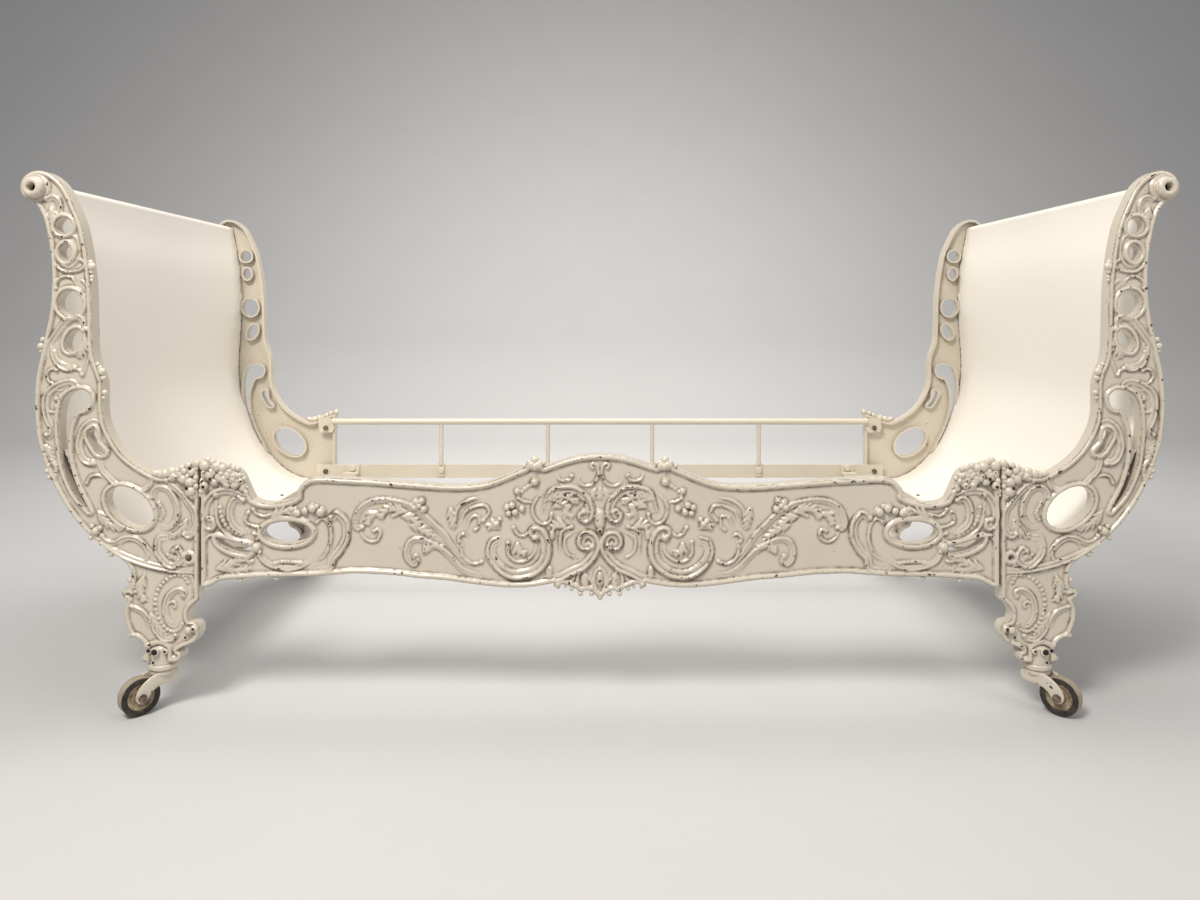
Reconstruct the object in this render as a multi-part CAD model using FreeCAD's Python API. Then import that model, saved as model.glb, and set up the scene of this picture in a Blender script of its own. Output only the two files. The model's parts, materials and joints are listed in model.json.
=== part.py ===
"""Cast-iron daybed with rolled sheet ends, an ornate front rail, a plain rear rail and four casters.

Frame: X along the bed, -Y is the front, Z up from the floor, origin midway between the four casters.
Outlines are drawn on the right-hand half as (across, height) pairs and are mirrored for the left.
"""
import FreeCAD
import Part
import math
import os
from FreeCAD import Vector

# ---------------------------------------------------------------- driving sizes, in mm
bedDepth = 800.0             # over the faces of the front and rear castings
railLength = 1382.0          # front rail, end to end
seamGap = 3.0                # between the rail's end and a side casting
patternRailLength = 1382.0   # rail length for which the outlines below are drawn
patternSeam = 694.0          # where the side casting's outline has its seam edge
patternCasterHeight = 80.0   # floor to the underside of the legs' cups, as drawn below

plateThick = 6.0             # face of every casting
rimDepth = 22.0              # turned-in flange round every casting
rimWall = 6.0
collarDepth = 20.0           # flange round the pierced holes
collarWall = 4.0
curveStep = 0.2              # how far a flange may leave its true curve

tubeRadius = 9.5             # tie tube through the two scroll heads of an end
tubeBore = 7.5
headBossRadius = 17.0
headBossProud = 15.0
tubeCentre = (976.0, 905.0)

sheetThick = 1.5             # rolled end sheet
wrapStart = -20.0            # the sheet's bend over the tie tube, in degrees from straight outwards
wrapEnd = 190.0
wrapSteps = 28
ledgeWall = 4.0              # rib that the sheet lies against
ledgeDepth = 14.0
fitGap = 0.3                 # between pieces that only lie on each other
shankGap = 0.1               # bolt shank in its hole, radial
swivelGap = 0.05             # caster stem and axle, radial

crossBarWidth = 30.0         # angle bar under the lower edge of the sheet
crossBarThick = 4.0
crossBarInner = 741.0        # near edge of the bar and of the sheet
sheetFoot = 256.0            # top of the sheet where it lies flat
screwRadius = 2.0            # screws that hold the sheet on the cross bar
screwHeadRadius = 4.5
screwHeadHeight = 2.5
screwCount = 5
barLugDepth = 22.0
barLugHeight = 11.0

boltRadius = 4.0
boltHeadRadius = 6.5
boltHeadHeight = 5.0
bossRadius = 13.0            # bosses behind the plate that take the rail bolts
frontBolt = (711.0, 265.0)
rearBolt = (716.0, 277.0)
upperBolt = (716.0, 390.0)
lugThick = 6.0
lugReach = 735.0             # how far the front rail's lugs lap behind a side casting
lugOverlap = 18.0            # how far a lug runs in along the rail
lowerLug = (248.0, 284.0)
upperLug = (372.0, 408.0)

barThick = 6.0               # flat bar of the rear rail
barBottom = 260.0
barTop = 294.0
barReach = 739.0
rodRadius = 8.0              # top rod of the rear rail
rodHeight = 407.0
rodTabThick = 5.0
rodTab = (697.0, 735.0, 378.0)
spindleRadius = 5.5
spindlePlaces = (-414.0, -136.0, 136.0, 414.0)
spindleFootWidth = 17.0
spindleFootThick = 4.0
spindleFootTop = 300.0
tenonLength = 6.0
rivetHeight = 280.0
rivetRadius = 4.0
rivetHeadRadius = 8.0
rivetHeadHeight = 4.5

supportPlace = 644.0         # brackets that carry the spring base
supportWidth = 34.0
supportReach = 40.0
supportThick = 5.0
supportTop = 277.0
supportLip = 16.0
supportRise = 1.5            # raised seat on each bracket, clear of rivet heads and flanges
supportRivetRise = 6.0       # bracket rivets above the spindle rivets

stemAcross = 763.5           # caster swivel axis
stemInset = 15.0             # behind the front face
stemRadius = 5.0
stemTop = 138.0
cupRadius = 21.0
cupTop = 108.0
socketRadius = 12.0
ringRadius = 24.0
ringHeight = 10.0
crownRadius = 21.0
crownHeight = 8.5
wheelRadius = 32.0
wheelWidth = 22.0
tyreThick = 8.0
axleRadius = 3.5
axleHeadRadius = 7.0
axleHeadHeight = 2.5
trail = 40.0
wheelClearance = 2.59        # between the tread and the edge of the crown
armThick = 5.0
armGap = 1.5
armEndRadius = 9.0
hubRadius = 9.0
casterTurn = 43.0            # degrees that each wheel is turned outwards from straight ahead

# ---------------------------------------------------------------- outlines
# Side casting, clockwise from the scroll head; each list is one smooth run and corners lie between runs.
sideRuns = [
    [(979, 880), (990, 884), (1000, 893), (1003, 906), (1000, 919), (990, 930), (975, 935), (960, 933),
     (945, 925), (928, 908), (917, 888), (908, 868), (900, 849), (893, 822), (888, 796), (884, 766),
     (881, 735), (880, 700), (879, 660), (878, 628), (873, 602), (864, 580), (861, 548), (861, 520),
     (857, 497), (849, 477), (838, 458), (824, 441), (806, 426), (785, 413), (765, 404)],
    [(765, 404), (745, 406), (728, 413), (710, 421), (694, 424)],
    [(694, 424), (694, 192)],
    [(694, 192), (702, 186), (710, 177), (713, 165), (710, 155)],
    [(710, 155), (703, 154), (697, 151), (693, 143), (693, 133), (697, 124), (704, 117), (714, 113),
     (724, 109), (731, 104)],
    [(731, 104), (724, 100), (723, 94), (728, 87), (736, 84)],
    [(736, 84), (779, 84)],
    [(779, 84), (787, 86), (792, 91), (790, 97), (784, 102)],
    [(784, 102), (786, 109), (790, 117), (796, 123), (803, 127), (811, 131), (816, 140), (820, 150),
     (823, 162), (823, 175), (820, 186), (817, 193)],
    [(817, 193), (824, 196), (827, 203), (824, 210), (817, 212), (812, 217), (811, 227), (812, 240),
     (816, 250), (823, 259), (833, 267)],
    [(833, 267), (845, 275), (858, 284), (875, 298), (892, 313), (910, 334), (925, 355), (938, 378),
     (948, 397), (957, 418), (965, 442), (972, 466), (976, 495), (978, 525), (977, 556), (974, 585),
     (968, 612), (961, 645), (955, 672), (950, 703), (948, 735), (948, 765), (951, 797), (956, 826),
     (962, 851), (970, 868), (979, 880)],
]

sideHoles = [
    [(928, 854), (938, 850), (943, 840), (939, 829), (928, 825), (917, 829), (913, 840), (918, 850)],
    [(925, 808), (933, 803), (936, 794), (933, 784), (925, 778), (917, 783), (914, 793), (917, 803)],
    [(917, 728), (930, 724), (938, 712), (937, 697), (928, 686), (915, 682), (903, 687), (896, 700),
     (899, 716), (907, 725)],
    [(879, 488), (887, 480), (884, 469), (876, 455), (865, 444), (857, 446), (864, 456), (871, 469)],
]
sideEllipses = [               # centre across, centre height, half length, half width, tilt in degrees
    (911.0, 641.0, 21.0, 13.0, 116.0),
    (814.0, 352.0, 46.0, 30.0, 37.0),
]
crescentRuns = [               # long curved slit beside the outer edge
    [(883, 345), (896, 359), (908, 374), (917, 391), (925, 410), (931, 433), (934, 457), (936, 480),
     (936, 503), (934, 522), (925, 545), (914, 553), (901, 556), (890, 554), (882, 546), (882, 534),
     (888, 524), (904, 519), (912, 506), (917, 492), (920, 472), (920, 449), (918, 433), (914, 416),
     (909, 399), (901, 380), (892, 363), (883, 345)],
]

# Front rail, right half from the top of the crest to the pendant below it.
crestRun = [(97, 422), (80, 428), (63, 434), (40, 440), (20, 443), (0, 444)]
shellRun = [(97, 422), (101, 429), (109, 434), (119, 434), (127, 429), (130, 421)]
railTopRun = [(130, 421), (149, 413), (166, 406), (183, 399), (213, 392), (250, 390), (280, 391),
              (320, 394), (360, 397), (400, 400), (440, 402), (480, 404), (497, 403), (509, 399),
              (517, 392), (523, 384), (525, 376), (524, 371)]
railDipRun = [(524, 371), (530, 367), (547, 362), (564, 359), (577, 359), (590, 361), (601, 366)]
clusterRun = [(601, 366), (611, 386), (617, 400), (623, 411), (634, 419), (647, 422), (667, 427),
              (682, 430), (691, 427)]
railFootRun = [(691, 215), (679, 214), (670, 218), (659, 224), (644, 227), (597, 230), (547, 232),
               (522, 232), (490, 233), (460, 235), (440, 237), (400, 237), (376, 236), (343, 233),
               (320, 230), (293, 228), (268, 226), (240, 222), (218, 219), (200, 217), (174, 214),
               (149, 213), (123, 214), (100, 217), (80, 221)]
pendantRun = [(80, 221), (73, 217), (63, 219), (52, 215), (40, 210), (35, 205), (25, 208), (14, 206),
              (6, 198), (0, 196)]
railEllipse = (542.0, 308.0, 42.0, 19.5, 0.0)
railSlot = [(662, 300), (648, 296), (630, 290), (612, 286), (603, 281), (606, 275), (620, 273),
            (640, 278), (653, 285), (661, 293)]

# End sheet, on the side that faces the mattress: from beside the tie tube down to the cross bar.
sheetRun = [(958, 862), (946, 804), (942, 749), (944, 668), (950, 586), (951, 532), (942, 479),
            (936, 458), (916, 403), (886, 344), (851, 301), (808, 268), (772, sheetFoot)]

# ---------------------------------------------------------------- derived places
halfDepth = bedDepth / 2
crossBarTop = sheetFoot - sheetThick - shankGap
lugTop = crossBarTop - crossBarThick - fitGap
railHalf = railLength / 2
railStretch = railLength / patternRailLength
sideShift = railHalf + seamGap - patternSeam     # moves everything at an end with the rail's length
rimBack = -halfDepth + rimDepth                  # rear edge of the front casting's flange
rearPlane = -rimBack - shankGap                  # face of the rear castings' bosses
crownBottom = wheelRadius + math.sqrt((wheelRadius + wheelClearance) ** 2 - (trail - crownRadius) ** 2)
casterHeight = crownBottom + crownHeight + ringHeight + 2 * fitGap
lift = casterHeight - patternCasterHeight        # raises the frame when the casters get taller
stemPlace = Vector(stemAcross + sideShift, -halfDepth + stemInset, 0)


def acrossSide(point):
    """A point of the side casting's drawing, in the plane y = 0."""
    return Vector(point[0] + sideShift, 0, point[1])


def acrossRail(point):
    """A point of the rail's drawing, stretched to the rail's length."""
    return Vector(point[0] * railStretch, 0, point[1])


def run(points, place):
    """One smooth run of an outline, or a straight edge where it has only two points."""
    vectors = [place(point) for point in points]
    if len(vectors) == 2:
        return Part.LineSegment(vectors[0], vectors[1]).toShape()
    curve = Part.BSplineCurve()
    curve.interpolate(vectors)
    return curve.toShape()


def closedRun(points, place):
    """A smooth closed curve through the points."""
    curve = Part.BSplineCurve()
    curve.interpolate(Points=[place(point) for point in points], PeriodicFlag=True)
    return Part.Wire([curve.toShape()])


def ellipse(spec, place):
    """An ellipse from its centre, two half sizes and tilt."""
    across, height, halfLong, halfWide, tilt = spec
    centre = place((across, height))
    angle = math.radians(tilt)
    longWay = Vector(math.cos(angle), 0, math.sin(angle))
    wideWay = Vector(-math.sin(angle), 0, math.cos(angle))
    curve = Part.Ellipse(centre + longWay * halfLong, centre + wideWay * halfWide, centre)
    return Part.Wire([curve.toShape()])


def face(wire):
    """A flat face whose edge follows the wire within curveStep."""
    points = wire.discretize(Deflection=curveStep)
    if points[0].distanceToPoint(points[-1]) > 1e-6:
        points.append(points[0])
    return Part.Face(Part.makePolygon(points))


def prism(flat, start, end):
    """The face made solid between two depths behind the front face of the bed."""
    solid = flat.copy()
    solid.translate(Vector(0, start - halfDepth, 0))
    return solid.extrude(Vector(0, end - start, 0))


def box(acrossFrom, acrossTo, depthFrom, depthTo, low, high):
    """A block between three pairs of coordinates."""
    corner = Vector(acrossFrom, depthFrom, low)
    return Part.makeBox(acrossTo - acrossFrom, depthTo - depthFrom, high - low, corner)


def rodAlongY(point, radius, depthFrom, depthTo):
    """A round bar parallel to Y at an (across, height) place."""
    return Part.makeCylinder(radius, depthTo - depthFrom, Vector(point[0], depthFrom, point[1]),
                             Vector(0, 1, 0))


def rodUp(across, depth, radius, low, high):
    """An upright round bar."""
    return Part.makeCylinder(radius, high - low, Vector(across, depth, low))


def hexagonAlongY(point, radius, depthFrom, depthTo):
    """A six-sided head or nut parallel to Y."""
    corners = []
    for corner in range(7):
        angle = math.radians(60 * corner)
        corners.append(Vector(point[0] + radius * math.cos(angle), depthFrom,
                              point[1] + radius * math.sin(angle)))
    flat = Part.Face(Part.makePolygon(corners))
    return flat.extrude(Vector(0, depthTo - depthFrom, 0))


def shifted(point):
    """An (across, height) pair at an end, moved with the rail's length."""
    return (point[0] + sideShift, point[1])


def mirroredX(shape):
    return shape.mirror(Vector(0, 0, 0), Vector(1, 0, 0))


def mirroredY(shape):
    return shape.mirror(Vector(0, 0, 0), Vector(0, 1, 0))


# ---------------------------------------------------------------- end sheet
def sheetPath():
    """Inner side of the end sheet: over the tie tube, down the end and in under the mattress."""
    across, height = tubeCentre
    wrapRadius = tubeRadius + fitGap + sheetThick
    wrap = []
    for step in range(wrapSteps + 1):
        angle = math.radians(wrapStart + (wrapEnd - wrapStart) * step / wrapSteps)
        wrap.append((across + wrapRadius * math.cos(angle), height + wrapRadius * math.sin(angle)))
    points = [acrossSide(point) for point in wrap[:-1]]
    down = run(wrap[-1:] + sheetRun, acrossSide)
    points.extend(down.discretize(Deflection=curveStep))
    points.append(acrossSide((crossBarInner, sheetFoot)))
    return points


def band(points, near, far):
    """A strip beside a path, between two distances on its left, as a flat face."""
    nearSide = []
    farSide = []
    for index, point in enumerate(points):
        before = points[max(index - 1, 0)]
        after = points[min(index + 1, len(points) - 1)]
        along = (after - before).normalize()
        sideways = Vector(along.z, 0, -along.x)
        nearSide.append(point + sideways * near)
        farSide.append(point + sideways * far)
    loop = nearSide + farSide[::-1] + nearSide[:1]
    return Part.Face(Part.makePolygon(loop))


def endPanel():
    depth = bedDepth - 2 * plateThick - 2 * fitGap
    strip = band(sheetPath(), 0, -sheetThick)
    panel = prism(strip, plateThick + fitGap, plateThick + fitGap + depth)
    for place in panelScrewPlaces():
        panel = panel.cut(rodUp(place[0], place[1], screwRadius + shankGap, 0, barTop))
    return panel


def panelScrewPlaces():
    """Where the sheet is screwed down on its cross bar."""
    across = crossBarInner + crossBarWidth / 2 + sideShift
    reach = halfDepth - 3 * rimDepth
    return [(across, -reach + 2 * reach * index / (screwCount - 1)) for index in range(screwCount)]


def panelScrews():
    screws = []
    for across, depth in panelScrewPlaces():
        top = sheetFoot + shankGap
        head = Part.makeCone(screwHeadRadius, screwHeadRadius / 2, screwHeadHeight,
                             Vector(across, depth, top))
        shank = rodUp(across, depth, screwRadius, top - 4 * crossBarThick, top)
        screws.append(head.fuse(shank).removeSplitter())
    return Part.Compound(screws)


# ---------------------------------------------------------------- cross bar
def crossBarHolePlace():
    return (crossBarInner + crossBarWidth / 2 + sideShift, -halfDepth + plateThick + barLugDepth / 2)


def crossBar():
    inner = crossBarInner + sideShift
    top = crossBarTop
    end = halfDepth - plateThick - fitGap
    bar = box(inner, inner + crossBarWidth, -end, end, top - crossBarThick, top)
    bar = bar.fuse(box(inner, inner + crossBarThick, -end, end, top - crossBarWidth, top))
    # the upright leg stops short of the lugs that carry the flat one
    lugEnd = -halfDepth + plateThick + barLugDepth + 1
    notch = box(inner - 1, inner + crossBarThick + 1, -end, lugEnd, top - crossBarWidth - 1,
                top - crossBarThick)
    bar = bar.cut(notch).cut(mirroredY(notch))
    for place in panelScrewPlaces():
        bar = bar.cut(rodUp(place[0], place[1], screwRadius + shankGap, 0, barTop))
    across, depth = crossBarHolePlace()
    hole = rodUp(across, depth, boltRadius + shankGap, 0, barTop)
    return bar.cut(hole).cut(mirroredY(hole)).removeSplitter()


def crossBarBolts():
    """Bolts that hold the cross bar on the lugs, with their heads below."""
    across, depth = crossBarHolePlace()
    seat = lugTop - barLugHeight - shankGap
    head = rodUp(across, depth, boltHeadRadius, seat - boltHeadHeight, seat)
    bolt = head.fuse(rodUp(across, depth, boltRadius, seat, crossBarTop - fitGap)).removeSplitter()
    return Part.Compound([bolt, mirroredY(bolt)])


# ---------------------------------------------------------------- side castings
def sideCasting(lowerBolt, throughLower):
    """Front right casting: leg, body and scroll head in one piece."""
    outline = face(Part.Wire([run(points, acrossSide) for points in sideRuns]))
    casting = prism(outline, 0, rimDepth)
    inside = outline.makeOffset2D(-rimWall, 0)
    casting = casting.cut(prism(inside, plateThick, rimDepth))

    holes = [face(closedRun(points, acrossSide)) for points in sideHoles]
    holes += [face(ellipse(spec, acrossSide)) for spec in sideEllipses]
    holes.append(face(Part.Wire([run(points, acrossSide) for points in crescentRuns])))
    outer = prism(outline, 0, rimDepth)
    for hole in holes:
        collar = prism(hole.makeOffset2D(collarWall, 2), 0, collarDepth).common(outer)
        casting = casting.fuse(collar)

    ledge = band(sheetPath(), -sheetThick - fitGap, -sheetThick - fitGap - ledgeWall)
    casting = casting.fuse(prism(ledge, plateThick, plateThick + ledgeDepth).common(outer))

    for point in (lowerBolt, upperBolt):
        casting = casting.fuse(rodAlongY(shifted(point), bossRadius, -halfDepth, rimBack))

    inner = crossBarInner + sideShift
    casting = casting.fuse(box(inner, inner + crossBarWidth, -halfDepth,
                               -halfDepth + plateThick + barLugDepth, lugTop - barLugHeight, lugTop))

    casting = casting.fuse(rodAlongY(shifted(tubeCentre), headBossRadius,
                                     -halfDepth - headBossProud, -halfDepth + plateThick))
    casting = casting.fuse(rodUp(stemPlace.x, stemPlace.y, cupRadius, patternCasterHeight, cupTop))
    casting = casting.fuse(rodUp(stemPlace.x, stemPlace.y, socketRadius, cupTop - 1,
                                 stemTop + socketRadius))
    shoulder = Part.makeCone(cupRadius, socketRadius, cupRadius - socketRadius,
                             Vector(stemPlace.x, stemPlace.y, cupTop))
    casting = casting.fuse(shoulder)

    slot = band(sheetPath(), fitGap, -sheetThick - fitGap)
    casting = casting.cut(prism(slot, plateThick, rimDepth + 1))
    casting = casting.cut(box(inner - fitGap, inner + crossBarWidth + fitGap, -halfDepth + plateThick,
                              rimBack + 1, lugTop, sheetFoot))
    for hole in holes:
        casting = casting.cut(prism(hole, -1, rimDepth + 1))
    casting = casting.cut(rodAlongY(shifted(tubeCentre), tubeRadius + shankGap,
                                    -halfDepth - headBossProud - 1, 0))
    casting = casting.cut(rodUp(stemPlace.x, stemPlace.y, stemRadius + swivelGap, 0, stemTop + 1))
    holeFront = -halfDepth - 1 if throughLower else -halfDepth + plateThick / 2
    casting = casting.cut(rodAlongY(shifted(lowerBolt), boltRadius + shankGap, holeFront, 0))
    casting = casting.cut(rodAlongY(shifted(upperBolt), boltRadius + shankGap,
                                    -halfDepth + plateThick / 2, 0))
    across, depth = crossBarHolePlace()
    casting = casting.cut(rodUp(across, depth, boltRadius + shankGap, lugTop - barLugHeight - 1,
                                lugTop + 1))
    return casting


def tieTube():
    end = halfDepth + headBossProud
    place = shifted(tubeCentre)
    return rodAlongY(place, tubeRadius, -end, end).cut(rodAlongY(place, tubeBore, -end - 1, end + 1))


# ---------------------------------------------------------------- front rail
def railOutline():
    mirrorRun = [(-across, height) for across, height in crestRun[:-1]]
    pendantMirror = [(-across, height) for across, height in pendantRun[:-1]]
    halfRuns = [shellRun, railTopRun, railDipRun, clusterRun, [clusterRun[-1], railFootRun[0]],
                railFootRun]
    edges = [run(crestRun + mirrorRun[::-1], acrossRail), run(pendantRun + pendantMirror[::-1], acrossRail)]
    for points in halfRuns:
        edges.append(run(points, acrossRail))
        edges.append(run([(-across, height) for across, height in points], acrossRail))
    return face(Part.Wire(Part.__sortEdges__(edges)))


def frontRail():
    outline = railOutline()
    outer = prism(outline, 0, rimDepth)
    rail = outer.cut(prism(outline.makeOffset2D(-rimWall, 0), plateThick, rimDepth))
    holes = [face(ellipse(railEllipse, acrossRail)), face(closedRun(railSlot, acrossRail))]
    holes += [mirroredX(hole) for hole in holes]
    for hole in holes:
        rail = rail.fuse(prism(hole.makeOffset2D(collarWall, 2), 0, collarDepth).common(outer))
    for low, high in (lowerLug, upperLug):
        lap = rimBack + shankGap
        lug = box(railHalf - lugOverlap, lugReach + sideShift, lap, lap + lugThick, low, high)
        lug = lug.fuse(box(railHalf - lugOverlap, railHalf, rimBack - rimWall, lap + lugThick, low, high))
        rail = rail.fuse(lug).fuse(mirroredX(lug))
    shelf = supportShelf()
    rail = rail.fuse(shelf).fuse(mirroredX(shelf))
    for hole in holes:
        rail = rail.cut(prism(hole, -1, rimDepth + 1))
    for point in (frontBolt, upperBolt):
        hole = rodAlongY(shifted(point), boltRadius + shankGap, rimBack - 1, 0)
        rail = rail.cut(hole).cut(mirroredX(hole))
    return rail.removeSplitter()


def supportShelf():
    """Cast shelf behind the front rail that carries the spring base."""
    place = supportPlace * railStretch
    top = supportTop - supportRise
    low = top - supportThick
    shelf = box(place - supportWidth / 2, place + supportWidth / 2, -halfDepth + plateThick - 1,
                rimBack + supportReach, low, top)
    seat = box(place - supportWidth / 2, place + supportWidth / 2, rimBack + supportRise,
               rimBack + supportReach, top, supportTop)
    rib = box(place - supportThick / 2, place + supportThick / 2, -halfDepth + plateThick - 1,
              rimBack + supportReach / 2, low - supportLip, low)
    return shelf.fuse(seat).fuse(rib)


def upperFrontBolts():
    """Bolts through the upper lugs into the blind bosses, heads behind."""
    point = shifted(upperBolt)
    seat = rimBack + 2 * shankGap + lugThick
    head = hexagonAlongY(point, boltHeadRadius, seat, seat + boltHeadHeight)
    bolt = head.fuse(rodAlongY(point, boltRadius, rimBack - rimDepth / 2, seat))
    return Part.Compound([bolt, mirroredX(bolt)])


def lowerFrontBolt():
    """Bolt from the face of the left casting through its boss and the rail's lower lug."""
    point = shifted(frontBolt)
    head = Part.makeSphere(boltHeadRadius, Vector(point[0], -halfDepth, point[1]))
    front = box(point[0] - 20, point[0] + 20, -halfDepth - 20, -halfDepth - shankGap, point[1] - 20,
                point[1] + 20)
    head = head.common(front)
    shank = rodAlongY(point, boltRadius, -halfDepth - 1, rimBack + 3 * lugThick)
    return mirroredX(head.fuse(shank).removeSplitter())


def lowerFrontNut():
    point = shifted(frontBolt)
    seat = rimBack + 2 * shankGap + lugThick
    nut = hexagonAlongY(point, boltHeadRadius + 1, seat, seat + lugThick)
    return mirroredX(nut.cut(rodAlongY(point, boltRadius + shankGap, seat - 1, seat + lugThick + 1)))


# ---------------------------------------------------------------- rear rail
def rearBar():
    reach = barReach + sideShift
    bar = box(-reach, reach, rearPlane - barThick, rearPlane, barBottom, barTop)
    holes = [shifted(rearBolt), (-shifted(rearBolt)[0], rearBolt[1])]
    holes += [(place * railStretch, rivetHeight) for place in spindlePlaces]
    holes += [(side * supportPlace * railStretch, rivetHeight + supportRivetRise) for side in (-1, 1)]
    for point in holes:
        bar = bar.cut(rodAlongY(point, boltRadius + shankGap, rearPlane - barThick - 1, rearPlane + 1))
    return bar


def rodAxis():
    return rearPlane - rodRadius


def topRod():
    """Round rod with a flattened tab at each end."""
    inner, outer, low = rodTab
    reach = inner + sideShift
    rod = Part.makeCylinder(rodRadius, 2 * reach, Vector(-reach, rodAxis(), rodHeight), Vector(1, 0, 0))
    corner = 12.0
    high = rodHeight + rodRadius
    right = outer + sideShift
    left = inner - 12 + sideShift
    points = [(left, high), (right, high), (right, low + corner)]
    points = [Vector(across, rearPlane - rodTabThick, height) for across, height in points]
    turn = Vector(right - corner * (1 - math.sqrt(0.5)), rearPlane - rodTabThick,
                  low + corner * (1 - math.sqrt(0.5)))
    arcEnd = Vector(right - corner, rearPlane - rodTabThick, low)
    slant = Vector(inner + 2 + sideShift, rearPlane - rodTabThick, low)
    edges = [Part.LineSegment(points[0], points[1]).toShape(),
             Part.LineSegment(points[1], points[2]).toShape(),
             Part.Arc(points[2], turn, arcEnd).toShape(),
             Part.LineSegment(arcEnd, slant).toShape(),
             Part.LineSegment(slant, points[0]).toShape()]
    tab = Part.Face(Part.Wire(edges)).extrude(Vector(0, rodTabThick, 0))
    tab = tab.cut(rodAlongY(shifted(upperBolt), boltRadius + shankGap, 0, halfDepth))
    rod = rod.fuse(tab).fuse(mirroredX(tab))
    for place in spindlePlaces:
        rod = rod.cut(rodUp(place * railStretch, rodAxis(), spindleRadius + shankGap, 0,
                            rodHeight - rodRadius + tenonLength + shankGap))
    return rod.removeSplitter()


def spindle(place):
    across = place * railStretch
    footBack = rearPlane - barThick - shankGap
    foot = box(across - spindleFootWidth / 2, across + spindleFootWidth / 2,
               footBack - spindleFootThick, footBack, barBottom + 4, spindleFootTop)
    foot = foot.cut(rodAlongY((across, rivetHeight), rivetRadius + shankGap, 0, halfDepth))
    shaft = rodUp(across, rodAxis(), spindleRadius, barTop + shankGap,
                  rodHeight - rodRadius + tenonLength)
    return shaft.fuse(foot).removeSplitter()


def rivet(across, height, front):
    """A domed rivet through the rear bar and what lies against its front face."""
    dome = Part.makeSphere(rivetHeadRadius, Vector(across, front, height))
    keep = box(across - 20, across + 20, front - rivetHeadHeight - shankGap, front - shankGap,
               height - 20, height + 20)
    shank = rodAlongY((across, height), rivetRadius, front - 1, rearPlane + 1)
    tail = rodAlongY((across, height), rivetHeadRadius - 1, rearPlane + shankGap,
                     rearPlane + rivetHeadHeight)
    return dome.common(keep).fuse(shank).fuse(tail).removeSplitter()


def spindleRivets():
    front = rearPlane - barThick - shankGap - spindleFootThick
    return Part.Compound([rivet(place * railStretch, rivetHeight, front) for place in spindlePlaces])


def bracketRivets():
    front = rearPlane - barThick - shankGap - supportThick
    across = supportPlace * railStretch
    return Part.Compound([rivet(side * across, rivetHeight + supportRivetRise, front) for side in (-1, 1)])


def rearBracket():
    """Angle bracket on the rear bar that carries the spring base."""
    across = supportPlace * railStretch
    back = rearPlane - barThick - shankGap
    top = supportTop - supportRise
    low = top - supportThick
    left = across - supportWidth / 2
    right = across + supportWidth / 2
    seatBack = back - supportThick - rivetHeadHeight - supportRise
    bracket = box(left, right, back - supportThick, back, low - supportLip, barTop)
    bracket = bracket.fuse(box(left, right, back - supportReach, back, low, top))
    bracket = bracket.fuse(box(left, right, back - supportReach, seatBack, top, supportTop))
    bracket = bracket.fuse(box(left, right, back - supportReach, back - supportReach + supportThick,
                               supportTop - supportLip, supportTop))
    hole = rodAlongY((across, rivetHeight + supportRivetRise), rivetRadius + shankGap, 0, halfDepth)
    return bracket.cut(hole).removeSplitter()


def rearBolts():
    """Bolts through the ends of the rear bar and of the top rod into the castings' bosses."""
    bolts = []
    for point, thick in ((rearBolt, barThick), (upperBolt, rodTabThick)):
        seat = rearPlane - thick - shankGap
        place = shifted(point)
        head = hexagonAlongY(place, boltHeadRadius, seat - boltHeadHeight, seat)
        bolt = head.fuse(rodAlongY(place, boltRadius, seat - 1, rearPlane + rimDepth / 2))
        bolts += [bolt.removeSplitter(), mirroredX(bolt.removeSplitter())]
    return Part.Compound(bolts)


# ---------------------------------------------------------------- casters
def turned(shape):
    """Turns a caster piece, built with the wheel straight ahead at x = 0, to its place."""
    shape = shape.copy()
    shape.rotate(Vector(0, 0, 0), Vector(0, 0, 1), casterTurn)
    shape.translate(stemPlace)
    return shape


def casterRing():
    top = casterHeight - fitGap
    ring = rodUp(0, 0, ringRadius, top - ringHeight, top)
    ring = ring.makeFillet(3.0, [edge for edge in ring.Edges if edge.Curve.TypeId == "Part::GeomCircle"])
    return turned(ring.cut(rodUp(0, 0, stemRadius + swivelGap, 0, casterHeight)))


def casterStem():
    return turned(rodUp(0, 0, stemRadius, crownBottom, stemTop + lift))


def casterHorn():
    """Crown round the stem with an arm down each side of the wheel."""
    crownTop = crownBottom + crownHeight
    horn = rodUp(0, 0, crownRadius, crownBottom, crownTop)
    armInner = wheelWidth / 2 + armGap
    for side in (-1, 1):
        near = side * armInner
        far = side * (armInner + armThick)
        start = min(near, far)
        outline = [Vector(start, 12, crownTop - 2), Vector(start, -15, crownTop - 2),
                   Vector(start, -trail - 5, wheelRadius + 7), Vector(start, -trail + 6, wheelRadius - 6),
                   Vector(start, -4, crownBottom - 10), Vector(start, 12, crownBottom)]
        arm = Part.Face(Part.makePolygon(outline + outline[:1])).extrude(Vector(armThick, 0, 0))
        end = Part.makeCylinder(armEndRadius, armThick, Vector(start, -trail, wheelRadius), Vector(1, 0, 0))
        horn = horn.fuse(arm).fuse(end)
    axleHole = Part.makeCylinder(axleRadius + shankGap, 4 * wheelWidth,
                                 Vector(-2 * wheelWidth, -trail, wheelRadius), Vector(1, 0, 0))
    horn = horn.cut(axleHole).cut(rodUp(0, 0, stemRadius + shankGap, 0, casterHeight))
    return turned(horn.removeSplitter())


def alongAxle(radius, start, end):
    """A round bar on the wheel's axis."""
    return Part.makeCylinder(radius, end - start, Vector(start, -trail, wheelRadius), Vector(1, 0, 0))


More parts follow.
